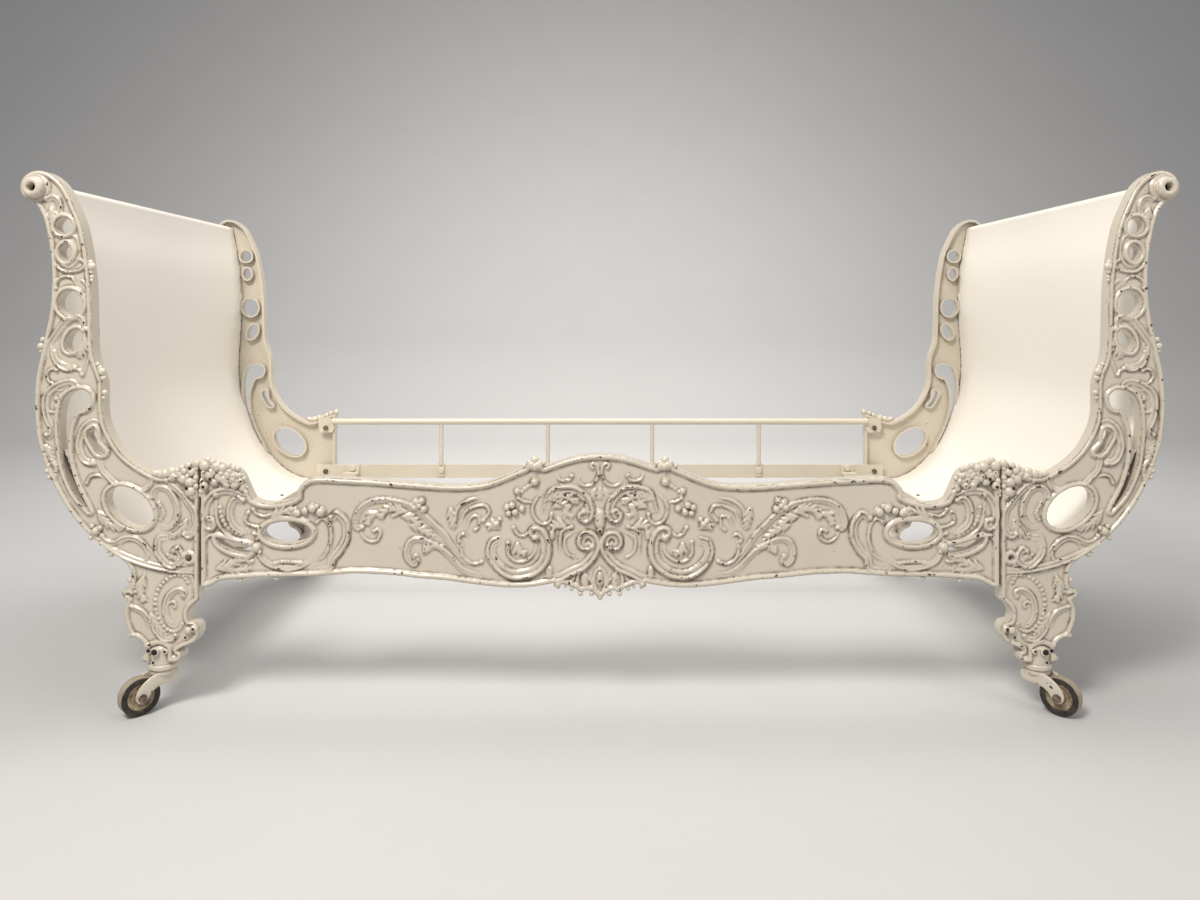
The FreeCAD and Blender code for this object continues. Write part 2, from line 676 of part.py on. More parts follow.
def casterAxle():
    reach = wheelWidth / 2 + armGap + armThick + shankGap
    axle = alongAxle(axleRadius, -reach, reach)
    for side in (-1, 1):
        start = min(side * reach, side * (reach + axleHeadHeight))
        axle = axle.fuse(alongAxle(axleHeadRadius, start, start + axleHeadHeight))
    return turned(axle.removeSplitter())


def casterDisc():
    """Wheel centre with a raised hub on each side."""
    half = wheelWidth / 2
    rim = wheelRadius - tyreThick
    disc = alongAxle(rim, -half + 3, half - 3)
    disc = disc.fuse(alongAxle(hubRadius, -half - armGap + fitGap, half + armGap - fitGap))
    return turned(disc.cut(alongAxle(axleRadius + swivelGap, -2 * half, 2 * half)).removeSplitter())


def casterTyre():
    half = wheelWidth / 2
    tyre = alongAxle(wheelRadius, -half, half)
    tyre = tyre.makeFillet(2.5, [edge for edge in tyre.Edges if edge.Curve.TypeId == "Part::GeomCircle"])
    return turned(tyre.cut(alongAxle(wheelRadius - tyreThick + shankGap, -2 * half, 2 * half)))


# ---------------------------------------------------------------- writing the pieces
def save(name, shape):
    solids = shape.Solids
    for solid in solids:
        if not solid.isValid():
            print("not valid:", name)
    whole = solids[0] if len(solids) == 1 else Part.Compound(solids)
    whole.exportStep("parts/" + name + ".step")
    print(name, len(solids), "solid(s)", round(whole.Volume / 1000), "cm3")


def saveFrame(name, shape):
    """A piece of the frame, drawn for the pattern's casters and raised to the real ones."""
    raised = shape.copy()
    raised.translate(Vector(0, 0, lift))
    save(name, raised)


def saveCaster(name, shape):
    """The same piece at all four corners; the given one is at the front right."""
    save("right_front_" + name, shape)
    save("left_front_" + name, mirroredX(shape))
    save("right_rear_" + name, mirroredY(shape))
    save("left_rear_" + name, mirroredX(mirroredY(shape)))


def saveEnds(name, shape):
    saveFrame("right_" + name, shape)
    saveFrame("left_" + name, mirroredX(shape))


os.makedirs("parts", exist_ok=True)
frontCasting = sideCasting(frontBolt, True)
rearCasting = mirroredY(sideCasting(rearBolt, False))
saveFrame("right_front_side_casting", frontCasting)
saveFrame("left_front_side_casting", mirroredX(frontCasting))
saveFrame("right_rear_side_casting", rearCasting)
saveFrame("left_rear_side_casting", mirroredX(rearCasting))

saveEnds("end_panel", endPanel())
saveEnds("panel_screws", panelScrews())
saveEnds("tie_tube", tieTube())
saveEnds("cross_bar", crossBar())
saveEnds("cross_bar_bolts", crossBarBolts())

saveFrame("front_rail_casting", frontRail())
saveFrame("front_rail_upper_bolts", upperFrontBolts())
saveFrame("front_rail_lower_bolt", lowerFrontBolt())
saveFrame("front_rail_lower_nut", lowerFrontNut())

saveFrame("rear_rail_bar", rearBar())
saveFrame("rear_rail_top_rod", topRod())
for index, place in enumerate(spindlePlaces):
    saveFrame("rear_rail_spindle_" + str(index + 1), spindle(place))
saveFrame("rear_rail_rivets", spindleRivets())
saveFrame("rear_rail_bolts", rearBolts())
saveEnds("rear_spring_bracket", rearBracket())
saveFrame("rear_spring_bracket_rivets", bracketRivets())

saveCaster("caster_ring", casterRing())
saveCaster("caster_stem", casterStem())
saveCaster("caster_horn", casterHorn())
saveCaster("caster_axle", casterAxle())
saveCaster("caster_disc", casterDisc())
saveCaster("caster_tyre", casterTyre())
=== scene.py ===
import bpy
import json
import math
import numpy as np
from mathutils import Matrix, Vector


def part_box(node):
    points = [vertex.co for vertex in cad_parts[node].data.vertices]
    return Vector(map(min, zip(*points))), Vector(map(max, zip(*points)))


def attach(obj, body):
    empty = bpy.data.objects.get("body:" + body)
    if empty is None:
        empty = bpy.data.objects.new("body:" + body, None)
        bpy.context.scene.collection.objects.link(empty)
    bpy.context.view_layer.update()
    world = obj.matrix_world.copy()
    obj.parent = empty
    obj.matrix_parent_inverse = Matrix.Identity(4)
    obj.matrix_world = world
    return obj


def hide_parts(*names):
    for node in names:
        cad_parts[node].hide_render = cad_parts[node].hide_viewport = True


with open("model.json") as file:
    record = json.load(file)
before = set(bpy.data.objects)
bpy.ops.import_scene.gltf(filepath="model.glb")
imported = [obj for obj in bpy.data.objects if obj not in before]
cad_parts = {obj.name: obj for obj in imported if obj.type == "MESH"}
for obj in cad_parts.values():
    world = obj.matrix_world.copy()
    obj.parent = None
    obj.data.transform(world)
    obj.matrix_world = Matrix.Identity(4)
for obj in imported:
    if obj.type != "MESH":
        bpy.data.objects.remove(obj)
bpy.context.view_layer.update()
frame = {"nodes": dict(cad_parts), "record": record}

# the castings' faces lie this far in front of and behind the middle of the bed
castFace = -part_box("front_rail_casting")[0].y
mm = 0.001


def newNode(tree, kind, x, y, **values):
    node = tree.nodes.new(kind)
    node.location = (x, y)
    for name, value in values.items():
        if hasattr(node, name):
            setattr(node, name, value)
        else:
            node.inputs[name.replace("_", " ")].default_value = value
    return node


def rampNode(tree, x, y, stops):
    ramp = newNode(tree, "ShaderNodeValToRGB", x, y)
    while len(ramp.color_ramp.elements) < len(stops):
        ramp.color_ramp.elements.new(0.5)
    for element, (place, colour) in zip(ramp.color_ramp.elements, stops):
        element.position = place
        element.color = (*colour, 1) if len(colour) == 3 else colour
    return ramp


def mixColour(tree, x, y, factor, first, second, blend="MIX"):
    node = newNode(tree, "ShaderNodeMix", x, y, data_type="RGBA", blend_type=blend)
    for socket, value in ((0, factor), (6, first), (7, second)):
        if hasattr(value, "is_linked"):
            tree.links.new(value, node.inputs[socket])
        elif isinstance(value, tuple):
            node.inputs[socket].default_value = (*value, 1)
        else:
            node.inputs[socket].default_value = value
    return node.outputs[2]


def mathNode(tree, x, y, operation, first, second=0.0, clamp=False):
    node = newNode(tree, "ShaderNodeMath", x, y, operation=operation, use_clamp=clamp)
    for socket, value in enumerate((first, second)):
        if hasattr(value, "is_linked"):
            tree.links.new(value, node.inputs[socket])
        else:
            node.inputs[socket].default_value = value
    return node.outputs[0]


def noiseNode(tree, x, y, coords, scale, detail=4.0, roughness=0.6):
    node = newNode(tree, "ShaderNodeTexNoise", x, y, Scale=scale, Detail=detail, Roughness=roughness)
    tree.links.new(coords, node.inputs["Vector"])
    return node.outputs["Fac"]


def rangeNode(tree, x, y, value, **ends):
    node = newNode(tree, "ShaderNodeMapRange", x, y, **ends)
    tree.links.new(value, node.inputs[0])
    return node.outputs[0]


def newMaterial(name):
    material = bpy.data.materials.new(name)
    material.use_nodes = True
    return material, material.node_tree, material.node_tree.nodes["Principled BSDF"]


# what all the enamels share: noise scales, the painted shadow line at the seam, broken up like chips (metres
# from the sheet's edge), and the clear coat
enamelFinish = {"shadeAndSoilPatches": 48.0, "glossPatches": 22.0, "seamStart": 0.007, "seamEnd": 0.0015,
                "seamShadowDepth": 0.36, "chipEdge": 0.012, "coatRoughness": 0.22}


def enamel(name, look):
    material, tree, shader = newMaterial(name)
    coords = newNode(tree, "ShaderNodeTexCoord", -1600, 0).outputs["Object"]
    clouds = noiseNode(tree, -1300, 300, coords, look["cloudScale"])
    base = mixColour(tree, -1000, 300, clouds, look["shade"], look["cream"])
    # painted shade and a brown patina darken the hollows: ambient occlusion and the relief's crevice
    # attribute, in patches
    hollow = newNode(tree, "ShaderNodeAmbientOcclusion", -1300, 0, Distance=look["hollowReach"], samples=8)
    depth = mathNode(tree, -1100, 0, "SUBTRACT", look["hollowStart"], hollow.outputs["AO"], clamp=True)
    patchy = noiseNode(tree, -1300, -250, coords, enamelFinish["shadeAndSoilPatches"])
    patchy = mathNode(tree, -1200, -250, "SUBTRACT", patchy, 0.25)
    patchy = mathNode(tree, -1100, -250, "MULTIPLY", patchy, 1.8)
    crevice = newNode(tree, "ShaderNodeAttribute", -1300, -450, attribute_name="crevice")
    depth = mathNode(tree, -900, 0, "MULTIPLY", depth, look["hollowStrength"])
    lines = mathNode(tree, -900, -300, "MULTIPLY", crevice.outputs["Fac"], look["creviceStrength"])
    depth = mathNode(tree, -800, -100, "ADD", depth, lines)
    total = mathNode(tree, -600, -200, "MULTIPLY", depth, patchy, clamp=True)
    hollowsDarkened = mixColour(tree, -400, 200, total, base, look["hollowShadeAndSoil"])
    # chips down to dark iron, only along ridges and here and there elsewhere
    fleck = noiseNode(tree, -1300, -650, coords, look["chipScale"], 3.0, 0.7)
    ridge = newNode(tree, "ShaderNodeAttribute", -1300, -850, attribute_name="ridge")
    level = mathNode(tree, -1000, -750, "MULTIPLY", ridge.outputs["Fac"], look["ridgeWear"])
    level = mathNode(tree, -900, -700, "ADD", level, fleck)
    # painted shadow: a dark line, broken up like chips, where the sheet meets the rear castings
    axes = newNode(tree, "ShaderNodeSeparateXYZ", -1300, -1050)
    tree.links.new(coords, axes.inputs[0])
    reach = mathNode(tree, -1100, -1050, "ABSOLUTE", axes.outputs["Y"])
    seam = rangeNode(tree, -950, -1050, reach, From_Min=look["seam"] - enamelFinish["seamStart"],
                     From_Max=look["seam"] - enamelFinish["seamEnd"], To_Max=enamelFinish["seamShadowDepth"])
    level = mathNode(tree, -850, -800, "ADD", level, seam)
    bare = look["chipLevel"] + enamelFinish["chipEdge"]
    chipsAndSeamShadow = rampNode(tree, -800, -650, ((look["chipLevel"], (0, 0, 0)), (bare, (1, 1, 1))))
    tree.links.new(level, chipsAndSeamShadow.inputs[0])
    final = mixColour(tree, -150, 200, chipsAndSeamShadow.outputs[0], hollowsDarkened, look["chipAndSeamShadow"])
    tree.links.new(final, shader.inputs["Base Color"])
    gloss = noiseNode(tree, -700, -400, coords, enamelFinish["glossPatches"])
    rough = rangeNode(tree, -450, -400, gloss,
                      To_Min=look["roughness"] - 0.08, To_Max=look["roughness"] + 0.12)
    tree.links.new(rough, shader.inputs["Roughness"])
    ripple = noiseNode(tree, -700, -900, coords, look["grain"], 5.0)
    bump = newNode(tree, "ShaderNodeBump", -300, -700, Strength=look["bump"], Distance=0.002)
    tree.links.new(ripple, bump.inputs["Height"])
    tree.links.new(bump.outputs[0], shader.inputs["Normal"])
    shader.inputs["Coat Weight"].default_value = look["coat"]
    shader.inputs["Coat Roughness"].default_value = enamelFinish["coatRoughness"]
    return material


noSeam = 9.0     # metres, further out than any piece reaches

castLook = {
    "cream": (0.63, 0.57, 0.465), "shade": (0.53, 0.47, 0.375), "hollowShadeAndSoil": (0.15, 0.10, 0.06),
    "chipAndSeamShadow": (0.022, 0.016, 0.012), "cloudScale": 7.0, "hollowReach": 0.006, "hollowStart": 0.75,
    "hollowStrength": 1.6, "creviceStrength": 1.75, "ridgeWear": 0.12,
    "seam": noSeam,
    "chipScale": 85.0, "chipLevel": 0.70, "roughness": 0.36, "grain": 160.0, "bump": 0.18, "coat": 0.6,
}
sheetLook = {
    "cream": (0.89, 0.845, 0.76), "shade": (0.86, 0.81, 0.715), "hollowShadeAndSoil": (0.30, 0.20, 0.11),
    "chipAndSeamShadow": (0.05, 0.035, 0.025), "cloudScale": 3.0, "hollowReach": 0.006, "hollowStart": 0.7,
    "hollowStrength": 1.2, "creviceStrength": 0.0, "ridgeWear": 0.0,
    "seam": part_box("right_end_panel")[1].y,
    "chipScale": 130.0, "chipLevel": 0.745, "roughness": 0.36, "grain": 40.0, "bump": 0.08, "coat": 0.3,
}
barLook = {
    "cream": (0.68, 0.61, 0.49), "shade": (0.58, 0.51, 0.40), "hollowShadeAndSoil": (0.16, 0.10, 0.06),
    "chipAndSeamShadow": (0.03, 0.022, 0.016), "cloudScale": 9.0, "hollowReach": 0.006, "hollowStart": 0.7,
    "hollowStrength": 1.2, "creviceStrength": 0.0, "ridgeWear": 0.0,
    "seam": noSeam,
    "chipScale": 110.0, "chipLevel": 0.72, "roughness": 0.4, "grain": 120.0, "bump": 0.15, "coat": 0.2,
}
hornLook = {**castLook, "hollowReach": 0.004, "creviceStrength": 0.0, "cloudScale": 14.0, "chipLevel": 0.655}
# painted shadow: the tie tubes' near-black hollow colour reaches far, shading them near the bosses and the
# sheets wrapped round them
tubeLook = {**barLook, "hollowShadeAndSoil": (0.012, 0.009, 0.007),
            "hollowReach": 0.03, "hollowStart": 0.95, "hollowStrength": 4.0}


def patchyMetal(name, look):
    material, tree, shader = newMaterial(name)
    coords = newNode(tree, "ShaderNodeTexCoord", -1300, 0).outputs["Object"]
    patches = noiseNode(tree, -1000, 200, coords, look["patchScale"], 6.0, 0.7)
    ramp = rampNode(tree, -700, 200, ((0.38, look["dark"]), (0.5, look["mid"]), (0.64, look["light"])))
    tree.links.new(patches, ramp.inputs[0])
    # painted shade: darker in the hollows, from ambient occlusion
    hollow = newNode(tree, "ShaderNodeAmbientOcclusion", -1000, -100, Distance=0.005, samples=8)
    hollowsDarkened = mixColour(tree, -350, 200, hollow.outputs["AO"], look["dark"], ramp.outputs[0])
    tree.links.new(hollowsDarkened, shader.inputs["Base Color"])
    rough = rangeNode(tree, -600, -300, patches,
                      To_Min=look["roughness"] - 0.1, To_Max=look["roughness"] + 0.15)
    tree.links.new(rough, shader.inputs["Roughness"])
    grain = noiseNode(tree, -1000, -500, coords, look["grain"], 6.0)
    bump = newNode(tree, "ShaderNodeBump", -350, -500, Strength=look["bump"], Distance=0.001)
    tree.links.new(grain, bump.inputs["Height"])
    tree.links.new(bump.outputs[0], shader.inputs["Normal"])
    shader.inputs["Metallic"].default_value = look["metal"]
    return material


rustLook = {"dark": (0.035, 0.024, 0.018), "mid": (0.15, 0.10, 0.07), "light": (0.30, 0.23, 0.17),
            "patchScale": 160.0, "roughness": 0.6, "grain": 420.0, "bump": 0.5, "metal": 0.35}
discLook = {"dark": (0.10, 0.065, 0.04), "mid": (0.24, 0.175, 0.105), "light": (0.42, 0.33, 0.22),
            "patchScale": 70.0, "roughness": 0.5, "grain": 300.0, "bump": 0.3, "metal": 0.0}
tyreLook = {"dark": (0.010, 0.008, 0.007), "mid": (0.024, 0.020, 0.016), "light": (0.07, 0.05, 0.034),
            "patchScale": 90.0, "roughness": 0.62, "grain": 300.0, "bump": 0.4, "metal": 0.0}
# near-black, for the painted shade of deep recesses among berries and buds
pitShadowLook = {"dark": (0.004, 0.003, 0.003), "mid": (0.010, 0.008, 0.006), "light": (0.03, 0.02, 0.015),
            "patchScale": 200.0, "roughness": 0.8, "grain": 300.0, "bump": 0.2, "metal": 0.0}

castEnamel = enamel("castEnamel", castLook)
sheetEnamel = enamel("sheetEnamel", sheetLook)
barEnamel = enamel("barEnamel", barLook)
rustyIron = patchyMetal("rustyIron", rustLook)
hornPaint = enamel("hornPaint", hornLook)
tubeEnamel = enamel("tubeEnamel", tubeLook)
wheelWood = patchyMetal("wheelWood", discLook)
treadDark = patchyMetal("treadDark", tyreLook)
pitShadow = patchyMetal("pitShadow", pitShadowLook)
slotMaterials = {
    "cast_enamel": castEnamel, "sheet_enamel": sheetEnamel, "bar_enamel": barEnamel,
    "rusty_steel": rustyIron, "caster_iron": hornPaint, "caster_disc": wheelWood,
    "caster_tyre": treadDark,
}
oddNodes = {"tie_tube": tubeEnamel, "caster_axle": rustyIron}     # nodes that differ from their slot
weldGap = 0.02 * mm
cornerAngle = math.radians(32)


def giveMaterial(piece, material):
    piece.data.materials.clear()
    piece.data.materials.append(material)


def dressNodes():
    slots = {part["node"]: part["material_slot"] for part in frame["record"]["subparts"]}
    for name, node in frame["nodes"].items():
        special = next((found for ending, found in oddNodes.items() if name.endswith(ending)), None)
        giveMaterial(node, special or slotMaterials[slots[name]])
        weld = node.modifiers.new("weld", "WELD")
        weld.merge_threshold = weldGap
        split = node.modifiers.new("corners", "EDGE_SPLIT")
        split.split_angle = cornerAngle
        node.data.polygons.foreach_set("use_smooth", [True] * len(node.data.polygons))


dressNodes()
print("frame dressed:", len(frame["nodes"]), "nodes")


def deselectAll():
    for piece in bpy.context.selected_objects:
        piece.select_set(False)


def makeActive(piece):
    deselectAll()
    piece.select_set(True)
    bpy.context.view_layer.objects.active = piece


def faceOutline(node):
    mesh = node.data
    mesh.calc_loop_triangles()
    points = np.empty(len(mesh.vertices) * 3)
    mesh.vertices.foreach_get("co", points)
    points = points.reshape(-1, 3)
    corners = np.empty(len(mesh.loop_triangles) * 3, int)
    mesh.loop_triangles.foreach_get("vertices", corners)
    corners = points[corners].reshape(-1, 3, 3)
    front = (np.abs(corners[:, :, 1] + castFace) < 0.01 * mm).all(axis=1)
    flat = np.round(corners[front][:, :, (0, 2)] / mm, 3)
    counted = {}
    for triangle in flat:
        for side in range(3):
            start = tuple(triangle[side])
            end = tuple(triangle[(side + 1) % 3])
            key = (min(start, end), max(start, end))
            counted[key] = counted.get(key, 0) + 1
    border = [key for key, times in counted.items() if times == 1]
    return np.array([key[0] for key in border]), np.array([key[1] for key in border])


class Relief:

    def __init__(self, starts, ends, cell):
        self.cell = cell
        self.low = np.minimum(starts, ends).min(axis=0) - 2 * cell
        high = np.maximum(starts, ends).max(axis=0) + 2 * cell
        self.count = np.ceil((high - self.low) / cell).astype(int) + 1
        self.across = self.low[0] + cell * np.arange(self.count[0])
        self.up = self.low[1] + cell * np.arange(self.count[1])
        self.height = np.zeros((self.count[1], self.count[0]))
        self.measure(starts, ends)

    def window(self, low, high):
        first = np.maximum(np.floor((low - self.low) / self.cell).astype(int), 0)
        last = np.minimum(np.ceil((high - self.low) / self.cell).astype(int) + 1, self.count)
        return slice(first[1], last[1]), slice(first[0], last[0])

    def measure(self, starts, ends, reach=20.0):
        self.edge = np.full(self.height.shape, reach)
        self.nearest = np.zeros(self.height.shape + (2,))
        for start, end in zip(starts, ends):
            rows, columns = self.window(np.minimum(start, end) - reach, np.maximum(start, end) + reach)
            x, z = np.meshgrid(self.across[columns], self.up[rows])
            along = end - start
            share = ((x - start[0]) * along[0] + (z - start[1]) * along[1]) / max(along @ along, 1e-9)
            share = np.clip(share, 0, 1)
            nearX = start[0] + share * along[0]
            nearZ = start[1] + share * along[1]
            gap = np.hypot(x - nearX, z - nearZ)
            closer = gap < self.edge[rows, columns]
            self.edge[rows, columns] = np.where(closer, gap, self.edge[rows, columns])
            spot = self.nearest[rows, columns]
            spot[closer] = np.stack((nearX, nearZ), axis=-1)[closer]
        self.inside = np.zeros(self.height.shape, bool)
        for row, level in enumerate(self.up):
            level += 1e-4
            crossing = (starts[:, 1] > level) != (ends[:, 1] > level)
            first, last = starts[crossing], ends[crossing]
            share = (level - first[:, 1]) / (last[:, 1] - first[:, 1])
            cuts = first[:, 0] + share * (last[:, 0] - first[:, 0])
            self.inside[row] = np.searchsorted(np.sort(cuts), self.across) % 2 == 1

    # moves a ball that stands beyond the border back until it sits on the casting's edge
    def seated(self, across, height, radius, out):
        row = int(round((height - self.low[1]) / self.cell))
        column = int(round((across - self.low[0]) / self.cell))
        if not (0 <= row < self.count[1] and 0 <= column < self.count[0]) or self.inside[row, column]:
            return across, height, out
        spot = self.nearest[row, column]
        reach = 0.6 * radius
        if self.edge[row, column] <= reach or not spot.any():
            return across, height, out
        away = np.array((across, height)) - spot
        across, height = spot + away * reach / np.linalg.norm(away)
        return across, height, min(out, 0.3 * radius)

    def dab(self, point, radius, height, profile="round"):
        reach = np.array((radius, radius))
        rows, columns = self.window(np.array(point) - reach, np.array(point) + reach)
        x, z = np.meshgrid(self.across[columns], self.up[rows])
        share = np.clip(np.hypot(x - point[0], z - point[1]) / radius, 0, 1)
        if profile == "band":     # low and flat
            dome = height * (1 - share ** 6)
        else:
            dome = height * np.sqrt(1 - share ** 2)
        patch = self.height[rows, columns]
        np.maximum(patch, dome, out=patch)

    # a line of dabs along a path; taper is the share of the width left at each end
    def stroke(self, path, width, height, profile="round", taper=(1.0, 1.0), swell=0.0):
        share = np.linspace(0, 1, len(path))
        girth = np.interp(share, (0, 0.3, 0.7, 1), (taper[0], 1, 1, taper[1]))
        girth = girth * (1 + swell * np.sin(math.pi * share))
        for point, size in zip(path, girth):
            self.dab(point, max(width / 2 * size, 0.8), height * (0.35 + 0.65 * min(size, 1)), profile)

    # a scroll: tapered at its open end, a button where it curls up, a low band on the hollow side if wide
    def scroll(self, points, width, height):
        path = smoothPath(points, 0.7 * self.cell)
        slope = np.gradient(path, axis=0)
        heading = np.unwrap(np.arctan2(slope[:, 1], slope[:, 0]))
        third = len(path) // 3
        curlsLast = abs(heading[-1] - heading[-third]) > abs(heading[third] - heading[0])
        if not curlsLast:
            path, slope, heading = path[::-1], -slope[::-1], heading[::-1]
        if width >= 6:
            inward = np.sign(heading[-1] - heading[0]) * np.stack((-slope[:, 1], slope[:, 0]), axis=-1)
            inward /= np.linalg.norm(inward, axis=1)[:, None] + 1e-9
            self.stroke(path + inward * width * 0.55, width * 1.15, height * 0.42, "band", (0.2, 0.7))
            self.stroke(path + inward * width * 1.02, width * 0.3, height * 0.62, "round", (0.4, 0.6))
        self.stroke(path, width * 0.78, height, "round", (0.3, 0.9))
        self.dab(path[-1], width * 0.62, height * 1.15)

    # an acanthus leaf: a fine spine with long lobes that sweep towards the tip and turn out at their ends
    def leaf(self, points, width, height, teeth):
        path = smoothPath(points, 0.7 * self.cell)
        self.stroke(path, width * 0.7, height * 0.45, "band", (0.6, 0.2), 0.3)
        slope = np.gradient(path, axis=0)
        slope /= np.linalg.norm(slope, axis=1)[:, None] + 1e-9
        for tooth in range(teeth):
            share = tooth / teeth
            spot = int(share * (len(path) - 1))
            length = width * (1.05 - 0.45 * share)
            ahead = slope[spot]
            for side in (-1, 1):
                across = side * np.array((-ahead[1], ahead[0]))
                lobe = [path[spot] + (sideways * across + forward * ahead) * length
                        for sideways, forward in ((0, 0), (0.24, 0.5), (0.44, 0.9), (0.68, 1.1))]
                lobe = smoothPath(lobe, 0.7 * self.cell)
                self.stroke(lobe, width * 0.36, height * 0.85, "round", (0.8, 0.45))
        self.stroke(path, max(width * 0.16, 2.0), height, "round", (1, 0.5))
        self.dab(path[-1], width * 0.2, height)

    def bead(self, width, height):
        share = np.clip(np.abs(self.edge - width / 2) / (width / 2), 0, 1)
        self.height = np.maximum(self.height, height * np.sqrt(1 - share ** 2))


def blurred(grid):
    padded = np.pad(grid, 1, mode="edge")
    grid = (padded[:-2, 1:-1] + 2 * padded[1:-1, 1:-1] + padded[2:, 1:-1]) / 4
    padded = np.pad(grid, 1, mode="edge")
    return (padded[1:-1, :-2] + 2 * padded[1:-1, 1:-1] + padded[1:-1, 2:]) / 4


def smoothPath(points, step):
    points = np.array(points, float)
    if len(points) == 2:
        count = max(int(np.linalg.norm(points[1] - points[0]) / step), 2)
        return points[0] + np.linspace(0, 1, count)[:, None] * (points[1] - points[0])
    ghost = np.vstack((2 * points[0] - points[1], points, 2 * points[-1] - points[-2]))
    path = []
    for a, b, c, d in zip(ghost, ghost[1:], ghost[2:], ghost[3:]):
        count = max(int(np.linalg.norm(c - b) / step), 2)
        t = np.linspace(0, 1, count, endpoint=False)[:, None]
        path.append(0.5 * (2 * b + (c - a) * t + (2 * a - 5 * b + 4 * c - d) * t ** 2
                           + (3 * b - a - 3 * c + d) * t ** 3))
    path.append(points[-1:])
    return np.vstack(path)


def reliefPiece(name, relief, material):
    columns, rows = relief.count
    deselectAll()
    bpy.ops.mesh.primitive_grid_add(x_subdivisions=columns - 1, y_subdivisions=rows - 1, size=1)
    piece = bpy.context.object
    piece.name = piece.data.name = name
    mesh = piece.data
    x, z = np.meshgrid(relief.across, relief.up)
    signed = np.where(relief.inside, relief.edge, -relief.edge)
    keep = signed > -0.72 * relief.cell
    border = keep & (signed < 0.3 * relief.cell)
    x = np.where(border, relief.nearest[..., 0], x)
    z = np.where(border, relief.nearest[..., 1], z)
    lift = np.where(border, -0.2, np.where(relief.inside, relief.height + 0.25, 0.0))
    place = np.stack((x * mm, -castFace - lift * mm, z * mm), axis=-1)
    mesh.vertices.foreach_set("co", place.ravel())
    wide = relief.height
    for _ in range(3):
        wide = blurred(wide)
    # crevice: where the relief dips below its softened self; the enamels paint shade and patina there
    crevice = np.clip((wide - relief.height) * 1.3, 0, 1) * relief.inside
    ridge = np.clip((relief.height - wide) * 1.2, 0, 1) * relief.inside
    for title, values in (("crevice", crevice), ("ridge", ridge)):
        layer = mesh.attributes.new(title, "FLOAT", "POINT")
        layer.data.foreach_set("value", values.ravel())
    bpy.ops.object.mode_set(mode="EDIT")
    bpy.ops.mesh.select_mode(type="VERT")
    bpy.ops.mesh.select_all(action="DESELECT")
    bpy.ops.object.mode_set(mode="OBJECT")
    mesh.vertices.foreach_set("select", (~keep).ravel())
    bpy.ops.object.mode_set(mode="EDIT")
    bpy.ops.mesh.delete(type="VERT")
    bpy.ops.mesh.select_all(action="SELECT")
    bpy.ops.mesh.normals_make_consistent(inside=False)
    bpy.ops.object.mode_set(mode="OBJECT")
    if mesh.polygons[len(mesh.polygons) // 2].normal.y > 0:
        mesh.flip_normals()
    bpy.ops.object.shade_smooth()
    giveMaterial(piece, material)
    return piece


